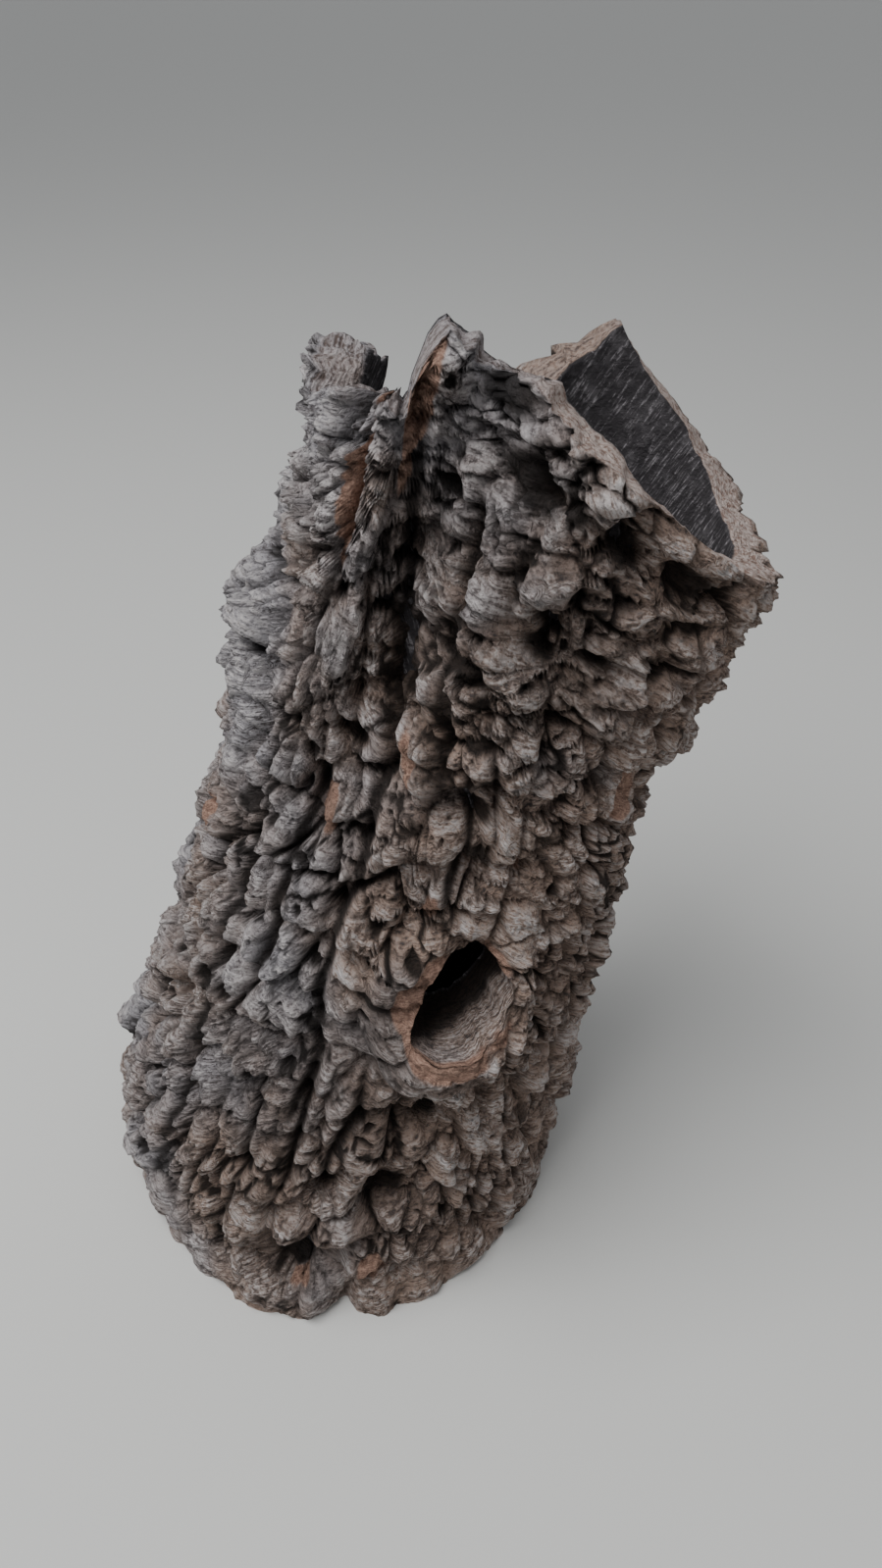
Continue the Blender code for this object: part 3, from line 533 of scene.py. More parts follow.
def placed_marks(at):
    """Grooves, swellings, pits, breaks and stains. Returns the height, the painted shade of grooves and deep
    hollows, and how fresh and stained it is.
    """
    height, recess_shade, fresh, stain = (np.zeros(at.turn.shape) for _ in range(4))
    for depth, half_width, at_rise, at_ridge in GROOVES:
        ridge = np.interp(at.rise, at_rise, at_ridge)
        gap = (at.turn + at.shift[..., 0] * 0.10 - ridge) * RIDGE_WIDTH / half_width
        inside = smooth((at.rise - at_rise[0]) / GROOVE_FADE) * smooth((at_rise[-1] - at.rise) / GROOVE_FADE)
        inside = inside * np.exp(-gap ** 2) * (0.35 + 0.65 * at.roomy)
        height = height - depth * inside
        # Painted shade along the grooves.
        recess_shade = np.maximum(recess_shade, 0.75 * inside)
    for *where, bump in LANDMARKS + SMALL_MARKS:
        there = np.exp(-0.7 * (spot(at.turn, at.rise, where) + 0.16 * at.shift[..., 1]) ** 3)
        height = height + bump * MM * there
        # Painted shade at the bottom of deep hollows, black in the deepest.
        if bump < -SHADED_FROM:
            recess_shade = np.maximum(recess_shade, np.minimum(there ** 3 * -bump / BLACK_SHADE_FROM, 1.0))
    for where in FRESH_BREAKS:
        gap = spot(at.turn, at.rise, where) + 0.45 * at.shift[..., 2]
        fresh = np.maximum(fresh, 1 - smooth((gap - 0.55) / 0.45))
    for *where, strength in STAINS:
        gap = spot(at.turn, at.rise, where) + 0.35 * at.shift[..., 2]
        stain = np.maximum(stain, strength * (1 - smooth((gap - 0.45) / 0.75)))
    return height - FRESH_DEPTH * fresh, recess_shade, fresh, stain


def knot_collar(at):
    """The collar about the knot hole.

    Returns how much of the collar's height a point has, that height, how far the point is on the broken lip (1)
    or off it (0), and how fresh the break is.
    """
    half_width, half_height = knot_scale()
    p, q = (at.turn - KNOT_RIDGE) / half_width, (at.rise - KNOT_RISE) / half_height
    distance = np.hypot(p, q)
    from_lip = (distance - 1) * (KNOT_HALF_WIDTH + KNOT_HALF_HEIGHT) / 2
    distance = np.maximum(distance, 1e-6)
    reach = COLLAR_REACH * (1 - COLLAR_LEAN * (0.45 * p + 0.9 * q) / distance)
    reach = reach + 0.004 * bark_noise(at.across, at.along, 0.012, 95)
    collar = 1 - smooth((from_lip - COLLAR_FLAT) / (reach - COLLAR_FLAT))
    lower = -q / distance
    lower_left = smooth(0.5 + 0.45 * lower - 0.45 * p / distance)
    lip_width = LIP_WIDTH + LIP_WIDTH_LOWER_LEFT * lower_left + 0.0030 * at.shift[..., 1]
    on_lip = 1 - smooth((from_lip - lip_width) / 0.0022)
    fresh = on_lip * smooth(0.15 + 1.1 * lower_left + 0.7 * at.shift[..., 0])
    return collar, COLLAR_MEAN + COLLAR_LIP * lower, on_lip, fresh


def bark_relief(ridge, rise):
    """The rough outer face over the mean face.

    The sum of the columns and lumps, the loose chunks, the pits, the placed marks and the collar. Returns the
    height, how far a point hangs downwards, and the values between 0 and 1 that the finish reads.
    """
    at = Ground(ridge, rise)
    height, hang, fissure_shade, layer, own, dome, above = columns_and_lumps(at)
    detail, chunk_hang, cracks, small_own, small_apart = loose_chunks(at)
    pit_depth, pit = insect_pits(at)
    height = height + (detail + CHUNK_MIDDLE) * (0.35 + 0.65 * at.rough) - pit_depth
    height = (height - RELIEF_MIDDLE) * (0.55 + 0.45 * smooth(rise / FOOT_RISE))
    marks, recess_shade, fresh, stain = placed_marks(at)
    height = height + marks
    collar, stand_out, on_lip, fresh_lip = knot_collar(at)
    height = height * (1 - collar * (0.20 + 0.30 * on_lip)) + (stand_out - 0.0020 * on_lip) * collar
    hang = (hang + chunk_hang) * (1 - 0.8 * collar) * smooth(rise / 0.05)

    fresh = np.maximum(fresh, fresh_lip)
    # Painted shade: low places among the chunks, fissures, cracks, pits, grooves and deep recesses are
    # darkened, less where the ridges are squeezed together.
    low = 0.7 * smooth((-0.0012 - detail) / 0.0032)
    hollow = np.maximum.reduce([fissure_shade * (1 - 0.6 * collar), pit, cracks, recess_shade, low]) * (0.5 + 0.5 * at.roomy)
    # Pale wear and painted highlight: raised crests and the lower lips of the lumps are paler.
    worn_and_highlight = smooth((detail + 0.0002) / 0.0028) * (0.25 + 0.75 * dome)
    lip = np.maximum(worn_and_highlight, smooth((-above - 0.10) / 0.35) * dome * 0.5)
    return {
        "height": height, "hang": hang, "hollow": hollow * (1 - fresh), "fresh": fresh,
        "lip": np.clip(lip, 0, 1) * (1 - hollow), "plate": 0.5 * own + 0.5 * small_own, "stain": stain,
        "layer": layer + (small_own - 0.5) * small_apart[..., 0] * 0.010 + 0.013 * small_own,
    }


def calm_places(turn, rise):
    """How smooth the bark is, from 0 to 1: by the foot and under the tip of the right limb."""
    under_limb = np.exp(-spot(turn, rise, UNDER_LIMB) ** 2)
    foot = 1 - smooth(rise / 0.16)
    return np.clip(0.85 * under_limb + 0.75 * foot, 0.0, 1.0)


def outer_face(ridge, rise):
    """The rough outer face: the mean face plus its height outwards, less its hang. Its foot is level."""
    values = bark_relief(ridge, rise)
    normal, up = directions(ridge, rise)
    point = mean_face(ridge, rise) + normal * values["height"][..., None] - up * values["hang"][..., None]
    point[..., 2] = np.where(rise <= 0, 0.0, np.maximum(point[..., 2], 0.0004))
    return point, values


def inner_face(ridge, rise):
    """The lining: one wall thickness inside the softly creased face, with faint lengthwise flutes."""
    thickness = np.interp(rise, WALL_RISE, WALL_THICKNESS) + RIM_THICKENING * smooth((rise - 0.86) / 0.12)
    across, along = np.mod(ridge, RIDGES) * RIDGE_WIDTH, rise * STEM_LENGTH
    for height, width, seed, stretch in FLUTES:
        thickness = thickness + height * bark_noise(across, along, width, seed, 2, stretch)
    normal, _ = directions(ridge, rise)
    point = mean_face(ridge, rise, PINCH_WIDTH * PINCH_INSIDE) - normal * thickness[..., None]
    point[..., 2] = np.where(rise <= 0, 0.0, point[..., 2])
    return point


def split_rise(ridge):
    """Rise of the split between the trunk and the limbs."""
    return np.interp(np.mod(ridge, RIDGES), SPLIT_RIDGE, SPLIT_RISE)


class Surface:
    """Grids of points that are collected into one closed mesh, with a value of each kind at every point."""

    # What the finish reads: painted shade in crevices, pits and the knot's tunnel; fresh breaks; pale wear with
    # painted highlight; lining; rims; plates; stains.
    KINDS = ("hollow", "fresh", "lip", "lining", "rim", "plate", "stain")

    def __init__(self):
        self.points = []
        self.places = []
        self.values = {kind: [] for kind in self.KINDS}
        self.quads = []
        self.hard = []
        self.count = 0

    def grid(self, points, across, layer, skip=None, hard=False, **values):
        """Adds a grid of points with quads between neighbours. A hard grid keeps sharp edges round it."""
        numbers = self.count + np.arange(points.shape[0] * points.shape[1]).reshape(points.shape[:2])
        self.count += numbers.size
        self.points.append(points.reshape(-1, 3))
        place = np.broadcast_arrays(across, layer, points[..., 0])[:2]
        self.places.append(np.stack(place, axis=-1).reshape(-1, 2))
        for kind in self.KINDS:
            value = np.broadcast_to(values.get(kind, 0.0), points.shape[:2])
            self.values[kind].append(value.reshape(-1))
        quads = np.stack([numbers[:-1, :-1], numbers[1:, :-1], numbers[1:, 1:], numbers[:-1, 1:]], axis=-1)
        quads = quads.reshape(-1, 4) if skip is None else quads[~skip]
        self.quads.append(quads)
        self.hard.append(np.full(len(quads), hard))

    def make(self, name, material):
        """Writes the mesh: joined where grids meet, faces outwards, shaded smooth."""
        points = np.concatenate(self.points)
        quads = np.concatenate(self.quads)
        _, first, joined = np.unique(np.round(points, 7), axis=0, return_index=True, return_inverse=True)
        joined = joined.reshape(-1)
        old_quads, quads = quads, joined[quads]
        mesh = bpy.data.meshes.new(name)
        mesh.vertices.add(len(first))
        mesh.vertices.foreach_set("co", points[first].astype(np.float32).ravel())
        mesh.loops.add(quads.size)
        mesh.loops.foreach_set("vertex_index", quads.astype(np.int32).ravel())
        mesh.polygons.add(len(quads))
        mesh.polygons.foreach_set("loop_start", np.arange(0, quads.size, 4, dtype=np.int32))
        mesh.update(calc_edges=True)
        places = np.concatenate(self.places)[old_quads]
        wide = np.ptp(places[..., 0], axis=1) > GIRTH / 2
        places[..., 0] += (wide[:, None] & (places[..., 0] < GIRTH / 2)) * GIRTH
        chart = mesh.uv_layers.new(name="bark")
        chart.data.foreach_set("uv", places.astype(np.float32).ravel())
        for kind in self.KINDS:
            layer = mesh.attributes.new(kind, "FLOAT", "POINT")
            layer.data.foreach_set("value", np.concatenate(self.values[kind])[first].astype(np.float32))
        edge_of = np.empty(quads.size, np.int32)
        mesh.loops.foreach_get("edge_index", edge_of)
        hard = np.repeat(np.concatenate(self.hard), 4)
        hard_sides = np.bincount(edge_of, hard, len(mesh.edges))
        soft_sides = np.bincount(edge_of, ~hard, len(mesh.edges))
        sharp = mesh.attributes.new("sharp_edge", "BOOLEAN", "EDGE")
        sharp.data.foreach_set("value", (hard_sides > 0) & (soft_sides > 0))
        mesh.shade_smooth()
        mesh.materials.append(material)
        piece = bpy.data.objects.new(name, mesh)
        bpy.context.scene.collection.objects.link(piece)
        return piece


def block_edge(columns, rows):
    """Grid places round the edge of a block of cells, anticlockwise from its lower left corner."""
    (first_column, last_column), (first_row, last_row) = columns, rows
    edge = [(c, first_row) for c in range(first_column, last_column)]
    edge += [(last_column, r) for r in range(first_row, last_row)]
    edge += [(c, last_row) for c in range(last_column, first_column, -1)]
    edge += [(first_column, r) for r in range(last_row, first_row, -1)]
    return np.array(edge)


def bridge(first_edge, last_edge, steps):
    """Rows of points straight from one edge to another of as many points, as (points along, steps + 1)."""
    share = np.linspace(0, 1, steps + 1)[None, :, None]
    return first_edge[:, None] * (1 - share) + last_edge[:, None] * share


def columns_between(first, last):
    """Ridge places of the mesh's columns from one whole ridge to another, closer together on the front half."""
    places = []
    for ridge in range(first, last):
        count = FRONT_COLUMNS if 16 <= ridge % RIDGES < 32 else BACK_COLUMNS
        places.append(ridge + np.arange(count) / count)
    return np.concatenate(places + [[last]])


def chart_across(ridge):
    """Length round the bark in the chart, whose seam lies at the back."""
    return np.mod(ridge - CHART_SEAM, RIDGES) * RIDGE_WIDTH


def add_face(surface, ridge, rise, skip=None):
    """Adds the rough outer face on a grid of ridge and rise, and returns its points and values."""
    points, values = outer_face(np.mod(ridge, RIDGES), rise)
    layer = values.pop("layer")
    values.pop("height")
    values.pop("hang")
    surface.grid(points, chart_across(ridge), layer, skip, **values)
    return points, values


def add_lining(surface, ridge, rise, skip=None):
    """Adds the smoother inner face on a grid of ridge and rise, and returns its points."""
    points = inner_face(np.mod(ridge, RIDGES), rise)
    surface.grid(points, chart_across(ridge), rise * STEM_LENGTH, skip, lining=1.0)
    return points


def trunk_surface():
    """The trunk as one closed surface: outer face, split, lining, base and the tunnel of the knot hole."""
    surface = Surface()
    column = columns_between(0, RIDGES)
    centre_column = int(np.argmin(np.abs(column - KNOT_RIDGE)))
    half_columns, half_rows = KNOT_BLOCK
    knot_share = KNOT_RISE / split_rise(KNOT_RIDGE)
    centre_row = round(knot_share * TRUNK_ROWS)
    outer_share = np.arange(TRUNK_ROWS + 1) / TRUNK_ROWS
    block = LINING_BLOCK_HALF
    inner_share = np.concatenate([
        np.linspace(1, knot_share + block, LINING_ROWS[0] + 1)[:-1],
        np.linspace(knot_share + block, knot_share - block, 2 * half_rows + 1),
        np.linspace(knot_share - block, 0, LINING_ROWS[1] + 1)[1:],
    ])
    columns = (centre_column - half_columns, centre_column + half_columns)
    grids = []
    for share, low, half_share, size, add in (
        (outer_share, centre_row - half_rows, half_rows / TRUNK_ROWS, MOUTH_SIZE, add_face),
        (inner_share, LINING_ROWS[0], block, KNOT_THROAT, add_lining),
    ):
        rows = (low, low + 2 * half_rows)
        ridge, rise = open_knot(column[:, None], share[None, :], knot_share, half_share, size)
        skip = np.zeros((len(column) - 1, len(share) - 1), bool)
        skip[columns[0]:columns[1], rows[0]:rows[1]] = True
        grids.append((add(surface, ridge, rise, skip), block_edge(columns, rows)))
    ((outside, values), mouth), (inside, _) = grids
    across = chart_across(column)[:, None]
    surface.grid(bridge(outside[:, -1], inside[:, 0], 1), across, 0.0, hard=True)
    surface.grid(bridge(inside[:, -1], outside[:, 0], BASE_ROWS), across, 0.0, rim=1.0, hard=True)

    low, high = LINING_ROWS[0], LINING_ROWS[0] + 2 * half_rows
    throat = np.stack([mouth[:, 0], high - (mouth[:, 1] - (centre_row - half_rows))], axis=-1)
    mouth_points, throat_points = outside[tuple(mouth.T)], inside[tuple(throat.T)]
    fresh_at_mouth = values["fresh"][tuple(mouth.T)]
    loop = np.concatenate([np.arange(len(mouth))[::-1], [len(mouth) - 1]])
    tunnel = bridge(mouth_points[loop], throat_points[loop], KNOT_ROWS)
    share = np.linspace(0, 1, KNOT_ROWS + 1)[None, :]
    spoke = unit(tunnel - tunnel.mean(axis=0, keepdims=True))
    turn = (loop / len(mouth) * GIRTH)[:, None]
    # Painted light and shade inside the knot hole: the lower right of the tunnel wall is painted pale as if
    # lit, and the tunnel is painted darker as it goes in, less on that lit side.
    lit_lower_right = smooth(0.2 + 0.5 * spoke[..., 0] - 0.8 * spoke[..., 2])
    wobble = bark_noise(turn, share * 0.04, 0.040, 201, 3) * 0.0022 + 0.0030
    tunnel = tunnel + spoke * (wobble * np.sin(math.pi * share) ** 0.7)[..., None]
    surface.grid(
        tunnel, loop[:, None] * 0.0012, share * 0.045, lip=0.8 * lit_lower_right, lining=0.45 * smooth(share / 0.30),
        fresh=fresh_at_mouth[loop][:, None] * (1 - smooth(share / 0.2)),
        hollow=smooth((share - 0.05 - 0.45 * lit_lower_right) / 0.35),
    )
    return surface


def open_knot(ridge, share, knot_share, half_share, size):
    """Ridge and rise of grid points, with a block of cells about the knot hole opened to an oval.

    Square rings of the grid round the block turn into oval rings, and fade back to straight lines further out.
    """
    ridge, share = np.broadcast_arrays(ridge, share)
    rise = share * split_rise(ridge)
    half_width, half_height = knot_scale()
    x = (ridge - KNOT_RIDGE) / (KNOT_BLOCK[0] / FRONT_COLUMNS)
    y = (share - knot_share) / half_share
    ring = np.maximum(np.maximum(np.abs(x), np.abs(y)), 1e-9)
    angle = np.arctan2(y, x)
    uneven = sum((height * np.sin(waves * angle + phase) for height, waves, phase in MOUTH_WAVES), 1.0)
    grown = (1 + (ring - 1) * 0.6) * size * uneven
    fade = smooth((KNOT_SPREAD - ring) / (KNOT_SPREAD - 1))
    ridge = ridge + fade * (KNOT_RIDGE + half_width * grown * np.cos(angle) - ridge)
    rise = rise + fade * (KNOT_RISE + half_height * grown * np.sin(angle) - rise)
    return ridge, rise


def rim_line(ridge, rim_ridge, rim_rise, sawn):
    """Rise of a rim: its course by ridge, made ragged by noise where it is torn and a little where sawn."""
    across = np.mod(ridge, RIDGES) * RIDGE_WIDTH
    ragged = sum(height * bark_noise(across, 0 * across, *noise) for height, *noise in RIM_RAGS)
    return np.interp(ridge, rim_ridge, rim_rise) + ragged * (1 - SAWN_EVENNESS * sawn) / STEM_LENGTH


def limb_surface(limb, rim_ridge, rim_rise, saw_cut):
    """A limb as one closed surface: outer face, rim, lining, the joint with the trunk and two long edges."""
    surface = Surface()
    column = columns_between(*limb)
    sawn = smooth((column - saw_cut[0]) / SAW_BLEND) * smooth((saw_cut[1] - column) / SAW_BLEND)
    foot = split_rise(column)[:, None]
    rim = rim_line(column, rim_ridge, rim_rise, sawn)[:, None]
    share = np.arange(LIMB_ROWS + 1)[None, :] / LIMB_ROWS
    ridge, rise = np.broadcast_arrays(column[:, None], foot + (rim - foot) * share)
    outside, _ = add_face(surface, ridge, rise)
    inside = add_lining(surface, ridge, foot + (rim - foot) * (1 - share))
    across = chart_across(column)[:, None]
    surface.grid(bridge(outside[:, 0], inside[:, -1], RIM_ROWS)[:, ::-1], across, 0.0, hard=True)

    top = bridge(outside[:, -1], inside[:, 0], RIM_ROWS)
    share = np.linspace(0, 1, RIM_ROWS + 1)[None, :]
    depth = share * RIM_WIDTH
    rough = 0.0012 + 0.0030 * (1 - sawn)[:, None]
    lift = bark_noise(np.mod(column, RIDGES)[:, None] * RIDGE_WIDTH, depth, RIM_GRAIN, 221, 2) * rough
    _, up = directions(column[:, None], rim)
    top = top + up * (lift * np.sin(math.pi * share) ** 0.5)[..., None]
    pale = 0.40 + 0.60 * sawn[:, None]
    surface.grid(top, across, depth, rim=pale)

    for end, turn in ((0, slice(None, None, -1)), (-1, slice(None))):
        edge = bridge(outside[end], inside[end, ::-1], RIM_ROWS)
        edge[-1] = top[end]
        along = rise[end][:, None] * STEM_LENGTH
        torn = smooth(0.45 + bark_noise(depth, along + 0.0 * depth, 2 * RIM_GRAIN, 231, 2))[:, turn]
        surface.grid(edge[:, turn], depth, along, fresh=torn, rim=0.3 * torn, hard=True)
    return surface


class Wire:
    """One output in a material's tree. Sums on wires and numbers add Math nodes."""

    def __init__(self, finish, socket):
        self.finish = finish
        self.socket = socket

    def math(self, operation, *values):
        """A Math node on this wire and the values."""
        return self.finish.node("Math", {"operation": operation}, dict(enumerate((self, *values))))

    def __add__(self, other):
        return self.math("ADD", other)

    def __radd__(self, other):
        return self.math("ADD", other)

    def __sub__(self, other):
        return self.math("SUBTRACT", other)

    def __rsub__(self, other):
        return (self * -1.0) + other

    def __mul__(self, other):
        return self.math("MULTIPLY", other)

    def __rmul__(self, other):
        return self.math("MULTIPLY", other)

    def ramp(self, low, high):
        """Smooth ramp from 0 at low to 1 at high."""
        return self.finish.node("MapRange", {"interpolation_type": "SMOOTHSTEP"}, {0: self, 1: low, 2: high})


class Finish:
    """A material made of nodes. Each node comes from the method node."""

    def __init__(self, name):
        self.material = bpy.data.materials.new(name)
        self.material.use_nodes = True
        self.tree = self.material.node_tree
        self.shader = self.tree.nodes["Principled BSDF"]

    def set(self, socket, value):
        """Links a wire to an input, or sets the input to a constant."""
        if isinstance(value, Wire):
            self.tree.links.new(value.socket, socket)
        else:
            socket.default_value = value

    def node(self, kind, settings=None, values=None, output=0):
        """A node of a kind, with its settings, its inputs' values or wires, and the output asked for."""
        made = self.tree.nodes.new("ShaderNode" + kind)
        for name, setting in (settings or {}).items():
            setattr(made, name, setting)
        for key, value in (values or {}).items():
            self.set(made.inputs[key], value)
        return Wire(self, made.outputs[output])

    def mix(self, share, first, second, blend="MIX"):
        """Two colours mixed by a share."""
        settings = {"data_type": "RGBA", "blend_type": blend, "clamp_factor": True}
        return self.node("Mix", settings, {0: share, 6: first, 7: second}, output=2)

    def stretch(self, vector, scale):
        """A vector times a scale on each axis."""
        return self.node("VectorMath", {"operation": "MULTIPLY"}, {0: vector, 1: scale})

    def noise(self, vector, scale, detail=2.0, rough=0.5):
        """Noise from 0 to 1 with features of about 1/scale."""
        values = {"Vector": vector, "Scale": scale, "Detail": detail, "Roughness": rough}
        return self.node("TexNoise", None, values)

    def attribute(self, name):
        """A value stored on the mesh."""
        return self.node("Attribute", {"attribute_name": name}, output="Fac")


def colour(value):
    """A colour property as four numbers."""
    return (*value, 1.0)


def bark_finish():
    """Cork bark: grey and brown by place, layer lines, painted shade in hollows, pale lips of wear and painted
    highlight, breaks and a dark lining.
    """
    old = bpy.data.materials.get("cork_bark")
    if old:
        return old
    look = bpy.context.scene.cork_bark
    finish = Finish("cork_bark")
    place = finish.node("TexCoord", output="Object")
    chart = finish.node("UVMap", {"uv_map": "bark"})
    axes = {name: finish.node("SeparateXYZ", None, {0: vector}, output=axis) for name, vector, axis in (
        ("x", place, "X"), ("z", place, "Z"), ("across", chart, "X"), ("layer", chart, "Y"))}
    hollow, fresh, lip, lining, rim, plate, stain = (finish.attribute(kind) for kind in Surface.KINDS)

    patches = finish.noise(place, 16.0, 3.0)
    mottle = finish.noise(place, 130.0, 4.0, 0.6)
    speck = finish.noise(place, 850.0, 2.0)
    grit = finish.noise(place, 420.0, 5.0, 0.75)
    streak = finish.noise(finish.stretch(chart, (160.0, 900.0, 1.0)), 1.0, 3.0, 0.6)
    slanted = finish.node("CombineXYZ", None, {0: axes["across"] + axes["layer"] * 0.50, 1: axes["layer"]})
    fleck = finish.noise(finish.stretch(slanted, (520.0, 75.0, 1.0)), 1.0, 4.0, 0.7)
    wander = finish.noise(place, 70.0, 3.0, 0.6)
    spacing = 1.0 / look.layer_spacing
    layers = ((axes["layer"] * spacing + wander * 3.0) * (2 * math.pi)).math("SINE") * 0.5 + 0.5
    fine_layers = ((axes["layer"] * (spacing * 2.7) + mottle * 3.0) * (2 * math.pi)).math("SINE") * 0.5 + 0.5
    seams = layers.ramp(0.30, 0.0) * grit.ramp(0.40, 0.62)

    warm = (axes["x"] * 5.0 - axes["z"] * 2.0 + patches * 2.2 - 0.05).ramp(0.0, 0.8)
    bark = finish.mix(warm, colour(look.grey), colour(look.brown))
    tone = mottle * 0.50 + grit.ramp(0.36, 0.64) * 0.36 + streak.ramp(0.38, 0.62) * 0.34 + plate * 0.25
    bark = finish.mix(tone.ramp(0.76, 0.26), bark, colour(look.dark))
    bark = finish.mix(stain * 0.75, bark, colour(look.dark))
    # Pale wear and painted highlight on crests and lips, and on the lit wall inside the knot hole; none where
    # painted shade lies.
    pale = (lip * 0.80 + 0.20) * tone.ramp(0.48, 0.98) * (1.0 - hollow) * (1.0 - stain * 0.45)
    bark = finish.mix(pale, bark, colour(look.pale))
    bark = finish.mix(seams * 0.55, bark, colour(look.dark))
    bark = finish.mix((speck.ramp(0.62, 0.75) * patches.ramp(0.5, 0.65)) * 0.6, bark, colour(look.lichen))
    # Painted shade: crevices, pits and deep recesses are darkened towards black in the colour.
    bark = finish.mix(hollow.ramp(0.05, 0.70) * 0.92, bark, colour(look.crevice_shade))

    torn = fine_layers * 0.25 + grit.ramp(0.62, 0.38) * 0.7
    broken = finish.mix(torn, colour(look.fresh), colour(look.fresh_dark))
    bark = finish.mix(fresh.ramp(0.1, 0.6), bark, broken)
    dash = fleck.ramp(0.50, 0.66) * grit.ramp(0.36, 0.62)
    flecks = dash * 0.75 + mottle.ramp(0.45, 0.8) * 0.18
    wall = finish.mix(flecks, colour(look.lining), colour(look.lining_pale))
    # Painted shade: the wall goes black deeper inside the knot hole.
    wall = finish.mix(hollow, wall, colour(look.crevice_shade))
    bark = finish.mix(lining.ramp(0.3, 0.8), bark, wall)
    cut = finish.mix(grit.ramp(0.56, 0.40) * 0.85, colour(look.rim), colour(look.fresh_dark))
    bark = finish.mix(rim.ramp(0.2, 0.8), bark, cut)

    texture = (layers * 0.25 + fine_layers * 0.15 + streak * 0.7) * (1.0 - lining) + mottle * 1.2 + grit * 1.3
    bump = finish.node("Bump", None, {"Strength": 1.0, "Distance": 0.0022, "Height": texture})
    inputs = finish.shader.inputs
    finish.set(inputs["Base Color"], bark)
    finish.set(inputs["Roughness"], 0.92 - pale * 0.08)
    finish.set(inputs["Normal"], bump)
    finish.set(inputs["Specular IOR Level"], 0.25)
    return finish.material


def plain_finish(name, tint, roughness):
    """One colour and roughness."""
    finish = Finish(name)
    finish.set(finish.shader.inputs["Base Color"], colour(tint))
    finish.set(finish.shader.inputs["Roughness"], roughness)
    return finish.material


def put(surface, slot, node):
    """Makes a piece that rides on the root and stands for one of the plain solids."""
    piece = surface.make(slot, bark_finish())
    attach(piece, "root")
    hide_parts(node)


def length(name, default, low, high, description):
    """A length that the user can change."""
    return FloatProperty(name=name, default=default, min=low, max=high, unit="LENGTH", description=description)


def tint(name, default, description):
    """A colour that the user can change."""
    return FloatVectorProperty(
        name=name, default=default, min=0.0, max=1.0, size=3, subtype="COLOR", description=description)


class CorkBarkSettings(bpy.types.PropertyGroup):
    """Sizes and colours of the bark."""

    fissure_depth: length("Fissure depth", 0.0070, 0.0, 0.015, "Depth of the furrows between the ridges")
    plate_length: length("Plate length", 0.026, 0.015, 0.08, "Length of a plate between two cross cracks")
    plate_crack: length("Crack depth", 0.0050, 0.0, 0.01, "Depth of the cracks round each plate")
    layer_spacing: length("Layer spacing", 0.0028, 0.001, 0.01, "Distance between the growth lines")
    grey: tint("Grey", (0.37, 0.355, 0.375), "Weathered bark high on the branch")
    brown: tint("Brown", (0.36, 0.245, 0.185), "Warmer bark on the right and low down")
    dark: tint("Dark", (0.075, 0.062, 0.060), "Stained bark")
    # Pale colour of worn edges, and also painted highlight on crests, lips and the lit wall inside the knot
    # hole.
    pale: tint("Pale", (0.64, 0.60, 0.59), "Worn edges of the plates")
    lichen: tint("Lichen", (0.50, 0.50, 0.46), "Fine specks of lichen")
    # Painted shade: near-black colour laid into the bottoms of furrows, pits and recesses.
    crevice_shade: tint("Crevice", (0.010, 0.007, 0.006), "Bottoms of the furrows and pits")
    fresh: tint("Fresh break", (0.50, 0.32, 0.245), "Places where the bark has lately broken")
    fresh_dark: tint("Fresh break, dark", (0.20, 0.115, 0.085), "Darker layers in a break")
    lining: tint("Lining", (0.042, 0.038, 0.041), "Inner face")
    lining_pale: tint("Lining, pale", (0.46, 0.43, 0.45), "Light flecks on the inner face")
    rim: tint("Rim", (0.56, 0.47, 0.43), "Cut and torn rims")


class CorkStageSettings(bpy.types.PropertyGroup):
    """Floor and light."""

    floor: tint("Floor", (0.62, 0.62, 0.60), "Colour of the floor")
    light: FloatProperty(name="Light", default=41.0, min=0.0, unit="POWER", description="Main light's power")
    sky: FloatProperty(name="Sky", default=0.43, min=0.0, description="Strength of the light from all round")


class CORK_OT_trunk(bpy.types.Operator):
    """Builds the trunk with its knot hole"""

    bl_idname = "cork.trunk"
    bl_label = "Trunk"

    def execute(self, context):
        put(trunk_surface(), "trunk_bark", "trunk")
        return {"FINISHED"}


class CORK_OT_limbs(bpy.types.Operator):
    """Builds the two limbs above the fork"""

    bl_idname = "cork.limbs"
    bl_label = "Limbs"

    def execute(self, context):
        put(limb_surface(LEFT_LIMB, LEFT_RIM_RIDGE, LEFT_RIM_RISE, NOT_SAWN), "left_limb_bark", "left_limb")
        put(limb_surface(RIGHT_LIMB, RIGHT_RIM_RIDGE, RIGHT_RIM_RISE, SAW_CUT), "right_limb_bark", "right_limb")
        return {"FINISHED"}


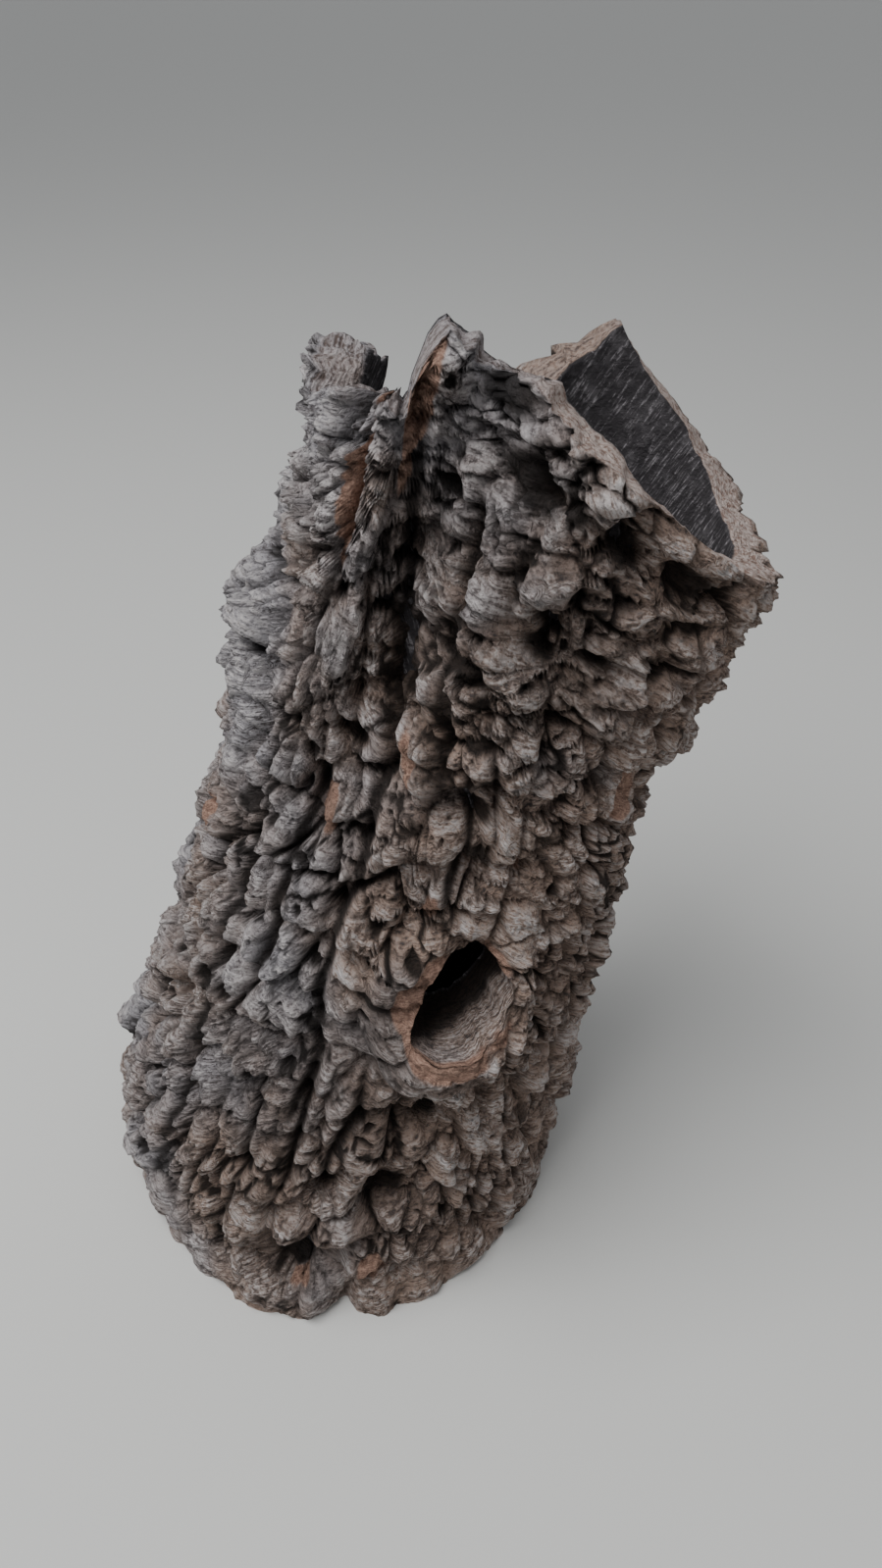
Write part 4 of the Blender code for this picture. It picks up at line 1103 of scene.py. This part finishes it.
class CORK_OT_stage(bpy.types.Operator):
    """Adds the floor, the lights and the camera of the photograph"""

    bl_idname = "cork.stage"
    bl_label = "Stage"

    def execute(self, context):
        settings = context.scene.cork_stage
        side = FLOOR_SIDE / 2
        mesh = bpy.data.meshes.new("floor")
        corners = [(-side, -side, 0), (side, -side, 0), (side, side, 0), (-side, side, 0)]
        mesh.from_pydata(corners, [], [(0, 1, 2, 3)])
        mesh.materials.append(plain_finish("floor", settings.floor, 0.8))
        floor = bpy.data.objects.new("floor", mesh)
        context.scene.collection.objects.link(floor)

        lamp = bpy.data.lights.new("window", "AREA")
        lamp.energy = settings.light
        lamp.shape = "RECTANGLE"
        lamp.size, lamp.size_y = 1.6, 1.2
        window = bpy.data.objects.new("window", lamp)
        window.location = (-0.7, -0.5, 1.9)
        window.rotation_euler = (Vector((0.0, 0.0, 0.25)) - window.location).to_track_quat("-Z", "Y").to_euler()
        context.scene.collection.objects.link(window)

        world = bpy.data.worlds.new("sky")
        world.use_nodes = True
        backdrop = world.node_tree.nodes["Background"]
        backdrop.inputs["Color"].default_value = (0.95, 0.97, 1.0, 1.0)
        backdrop.inputs["Strength"].default_value = settings.sky
        context.scene.world = world

        lens = bpy.data.cameras.new("photo_camera")
        lens.sensor_fit = "VERTICAL"
        lens.sensor_height = 36.0
        lens.lens = 36.0 * PHOTO_FOCAL_PIXELS / PHOTO_HEIGHT_PIXELS
        camera = bpy.data.objects.new("photo_camera", lens)
        camera.location = PHOTO_CAMERA
        camera.rotation_euler = (math.pi / 2 - PHOTO_PITCH, 0.0, 0.0)
        context.scene.collection.objects.link(camera)
        context.scene.camera = camera
        return {"FINISHED"}


class CORK_PT_panel(bpy.types.Panel):
    """Buttons and settings of the cork branch"""

    bl_label = "Cork Branch"
    bl_idname = "CORK_PT_panel"
    bl_space_type = "VIEW_3D"
    bl_region_type = "UI"
    bl_category = "Cork"

    def draw(self, context):
        for settings in (context.scene.cork_bark, context.scene.cork_stage):
            for name in settings.__annotations__:
                self.layout.prop(settings, name)
        for operator in OPERATORS:
            self.layout.operator(operator.bl_idname)


OPERATORS = (CORK_OT_trunk, CORK_OT_limbs, CORK_OT_stage)
CLASSES = (CorkBarkSettings, CorkStageSettings, *OPERATORS, CORK_PT_panel)


def register():
    """Adds the add-on's classes and settings."""
    for item in CLASSES:
        bpy.utils.register_class(item)
    bpy.types.Scene.cork_bark = PointerProperty(type=CorkBarkSettings)
    bpy.types.Scene.cork_stage = PointerProperty(type=CorkStageSettings)


def unregister():
    """Removes the add-on's classes and settings."""
    del bpy.types.Scene.cork_stage
    del bpy.types.Scene.cork_bark
    for item in reversed(CLASSES):
        bpy.utils.unregister_class(item)


def main():
    """Builds the pieces and the stage."""
    register()
    bpy.ops.cork.trunk()
    bpy.ops.cork.limbs()
    bpy.ops.cork.stage()


if __name__ == "__main__":
    main()
